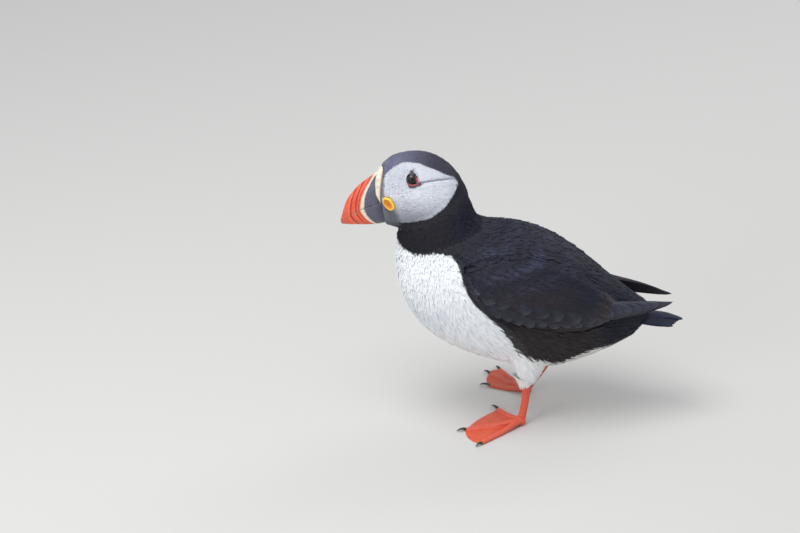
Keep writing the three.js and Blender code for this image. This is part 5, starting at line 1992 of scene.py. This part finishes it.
def make_claw(name, leg, toe):
    """A hooked claw that grows from the end of its toe and bends down to the floor."""
    angle, length, reach = TOES[toe]
    way = toe_way(leg, angle)
    root = beside(leg["joint"], leg["side"]) + way * (length - 1.2)
    t = np.linspace(0, 1, 22)
    path = root + way * (t * (reach + 1.35))[:, None]
    path[:, 2] = 1.42 + 1.1 * np.sin(0.75 * math.pi * t) - 1.62 * t**2
    radius = 1.15 * (1 - t) ** 0.55 * (1 - 0.12 * t) + 0.12
    rings = tube_rings(path, radius, 16, 0.86)
    rings[..., 2] = np.maximum(rings[..., 2], 0.05)
    return lofted(f"claw_horn_{toe}_{name}", rings, BLACK_CLAW)


for name, leg in LEGS.items():
    piece = make_foot(name, leg)
    press_scutes(piece, leg)
    piece.data.materials.clear()
    piece.data.materials.append(foot_material(f"{name} foot skin", leg["painted_shade"]))
    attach(piece, "root")
    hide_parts(f"shank_{name}", f"foot_{name}")
    for toe in TOES:
        claw = make_claw(name, leg, toe)
        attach(claw, "root")
        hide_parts(f"claw_{toe}_{name}")
    print(piece.name, len(piece.data.polygons), "faces")

# %% [markdown]
# The thigh's hair ends in loose locks over the ankle. The skin stops there, so the locks are laid
# on a hidden cone round the shank, longer in front and shorter behind.

# %% Locks of hair over the ankles
CUFF_TOP, CUFF_LOW = 8.0, -7.0  # over the ankle
CUFF_WIDE, CUFF_NARROW = 7.2, 2.6
LOCKS = 220


def cuff_point(leg, turn, height):
    """A place on the cone. turn 0 points to the tail, and height is in mm over the ankle."""
    t = max(0.0, -height / (leg["ankle"][2] - leg["joint"][2]))
    share = (height - CUFF_LOW) / (CUFF_TOP - CUFF_LOW)
    radius = lerp(CUFF_NARROW, CUFF_WIDE, share) * (1 - 0.3 * share * max(0.0, math.cos(turn)))
    x, y, _ = shank_axis(leg, np.array([t]))[0]
    x -= 0.35 * max(0.0, height)
    x += radius * math.cos(turn)
    return np.array([x, y + 0.8 * radius * math.sin(turn), leg["ankle"][2] + height])


def cuff_locks(name, leg):
    heights = np.linspace(CUFF_TOP + 2, CUFF_LOW - 3, 12)
    cone = np.array([[cuff_point(leg, turn, height) for turn in circle(24)] for height in heights])
    outward = (cone - cone.mean(axis=1, keepdims=True)).reshape(-1, 3)
    guide = guide_surface(f"cuff_guide_{name}", cone, outward, closed=True)
    rng = np.random.default_rng(91)
    rows = []
    for k in range(LOCKS):
        turn = 2 * math.pi * (k + rng.random()) / LOCKS
        rear = 0.5 + 0.5 * math.cos(turn)
        root_height = lerp(CUFF_TOP + 1, 4.2, rear) - 5 * rng.random()
        tip_height = CUFF_LOW + 2.5 + 5 * rear + 6 * rng.random() ** 1.5
        tint = mix(SNOW, CREAM_DOWN, 0.3 + 0.5 * rear)
        root = cuff_point(leg, turn, root_height)
        tip = cuff_point(leg, turn + 0.12 * rng.normal(), tip_height)
        rows.append((root, tip, 1.15, 0.3 + 0.7 * rng.random(), tint))
    roots, patch = rows_of_vanes(rows, search_tree(guide.data))
    return lay_vanes(f"ankle_locks_{name}", roots, "hair", DOWN_WHITE, 0.16, 0.2, guide=guide, patch=patch)


for name, leg in LEGS.items():
    locks = cuff_locks(name, leg)
    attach(locks, "root")

# %% [markdown]
# ## Floor, light and camera
#
# The bird stands on a plain pale floor under one broad soft lamp overhead, a weaker one from the
# side of the camera, and an even pale sky. The camera looks down a little, from far away, the
# way a long lens sees a bird on a slope.

# %% Floor and sky
floor_mesh = bpy.data.meshes.new("floor")
FLOOR_HALF = 6.0
corners = ((-1, -1, 0), (1, -1, 0), (1, 1, 0), (-1, 1, 0))
floor_mesh.from_pydata([tuple(FLOOR_HALF * c for c in corner) for corner in corners], [], [(0, 1, 2, 3)])
floor = show("floor", floor_mesh)
floor_paint, _, floor_shader = new_material("pale floor", 0.9)
floor_shader.inputs["Base Color"].default_value = (0.62, 0.61, 0.59, 1)
floor_mesh.materials.append(floor_paint)

world = bpy.data.worlds.new("soft sky")
bpy.context.scene.world = world
world.use_nodes = True
sky = world.node_tree.nodes["Background"]
sky.inputs["Color"].default_value = (0.93, 0.96, 1.0, 1)
sky.inputs["Strength"].default_value = 0.62


# %% Lamps and camera
LIT_PLACE = Vector((0, 0, 0.1))  # the middle of the bird


def add_lamp(name, place, size, power):
    """A round lamp that faces the bird."""
    data = bpy.data.lights.new(name, "AREA")
    data.shape = "DISK"
    data.size = size
    data.energy = power
    lamp = bpy.data.objects.new(name, data)
    bpy.context.scene.collection.objects.link(lamp)
    lamp.location = place
    lamp.rotation_euler = (LIT_PLACE - Vector(place)).to_track_quat("-Z", "Y").to_euler()


add_lamp("overhead", (-0.35, -0.35, 1.3), 0.9, 11)
add_lamp("side", (-0.9, -1.1, 0.55), 0.7, 4.5)
add_lamp("rear", (0.7, 0.9, 0.9), 0.7, 3)

ELEVATION = math.radians(24)
DISTANCE = 3.0
AIM = Vector(to_model([[-77.2, 0, 110.6]])[0])
camera_data = bpy.data.cameras.new("camera")
camera_data.lens = 195.6
camera_data.sensor_width = 36
camera = bpy.data.objects.new("camera", camera_data)
bpy.context.scene.collection.objects.link(camera)
toward = Vector((0, -math.cos(ELEVATION), math.sin(ELEVATION)))
camera.location = AIM + toward * DISTANCE
camera.rotation_euler = (-toward).to_track_quat("-Z", "Y").to_euler()
bpy.context.scene.camera = camera
bpy.context.scene.view_settings.view_transform = "Standard"
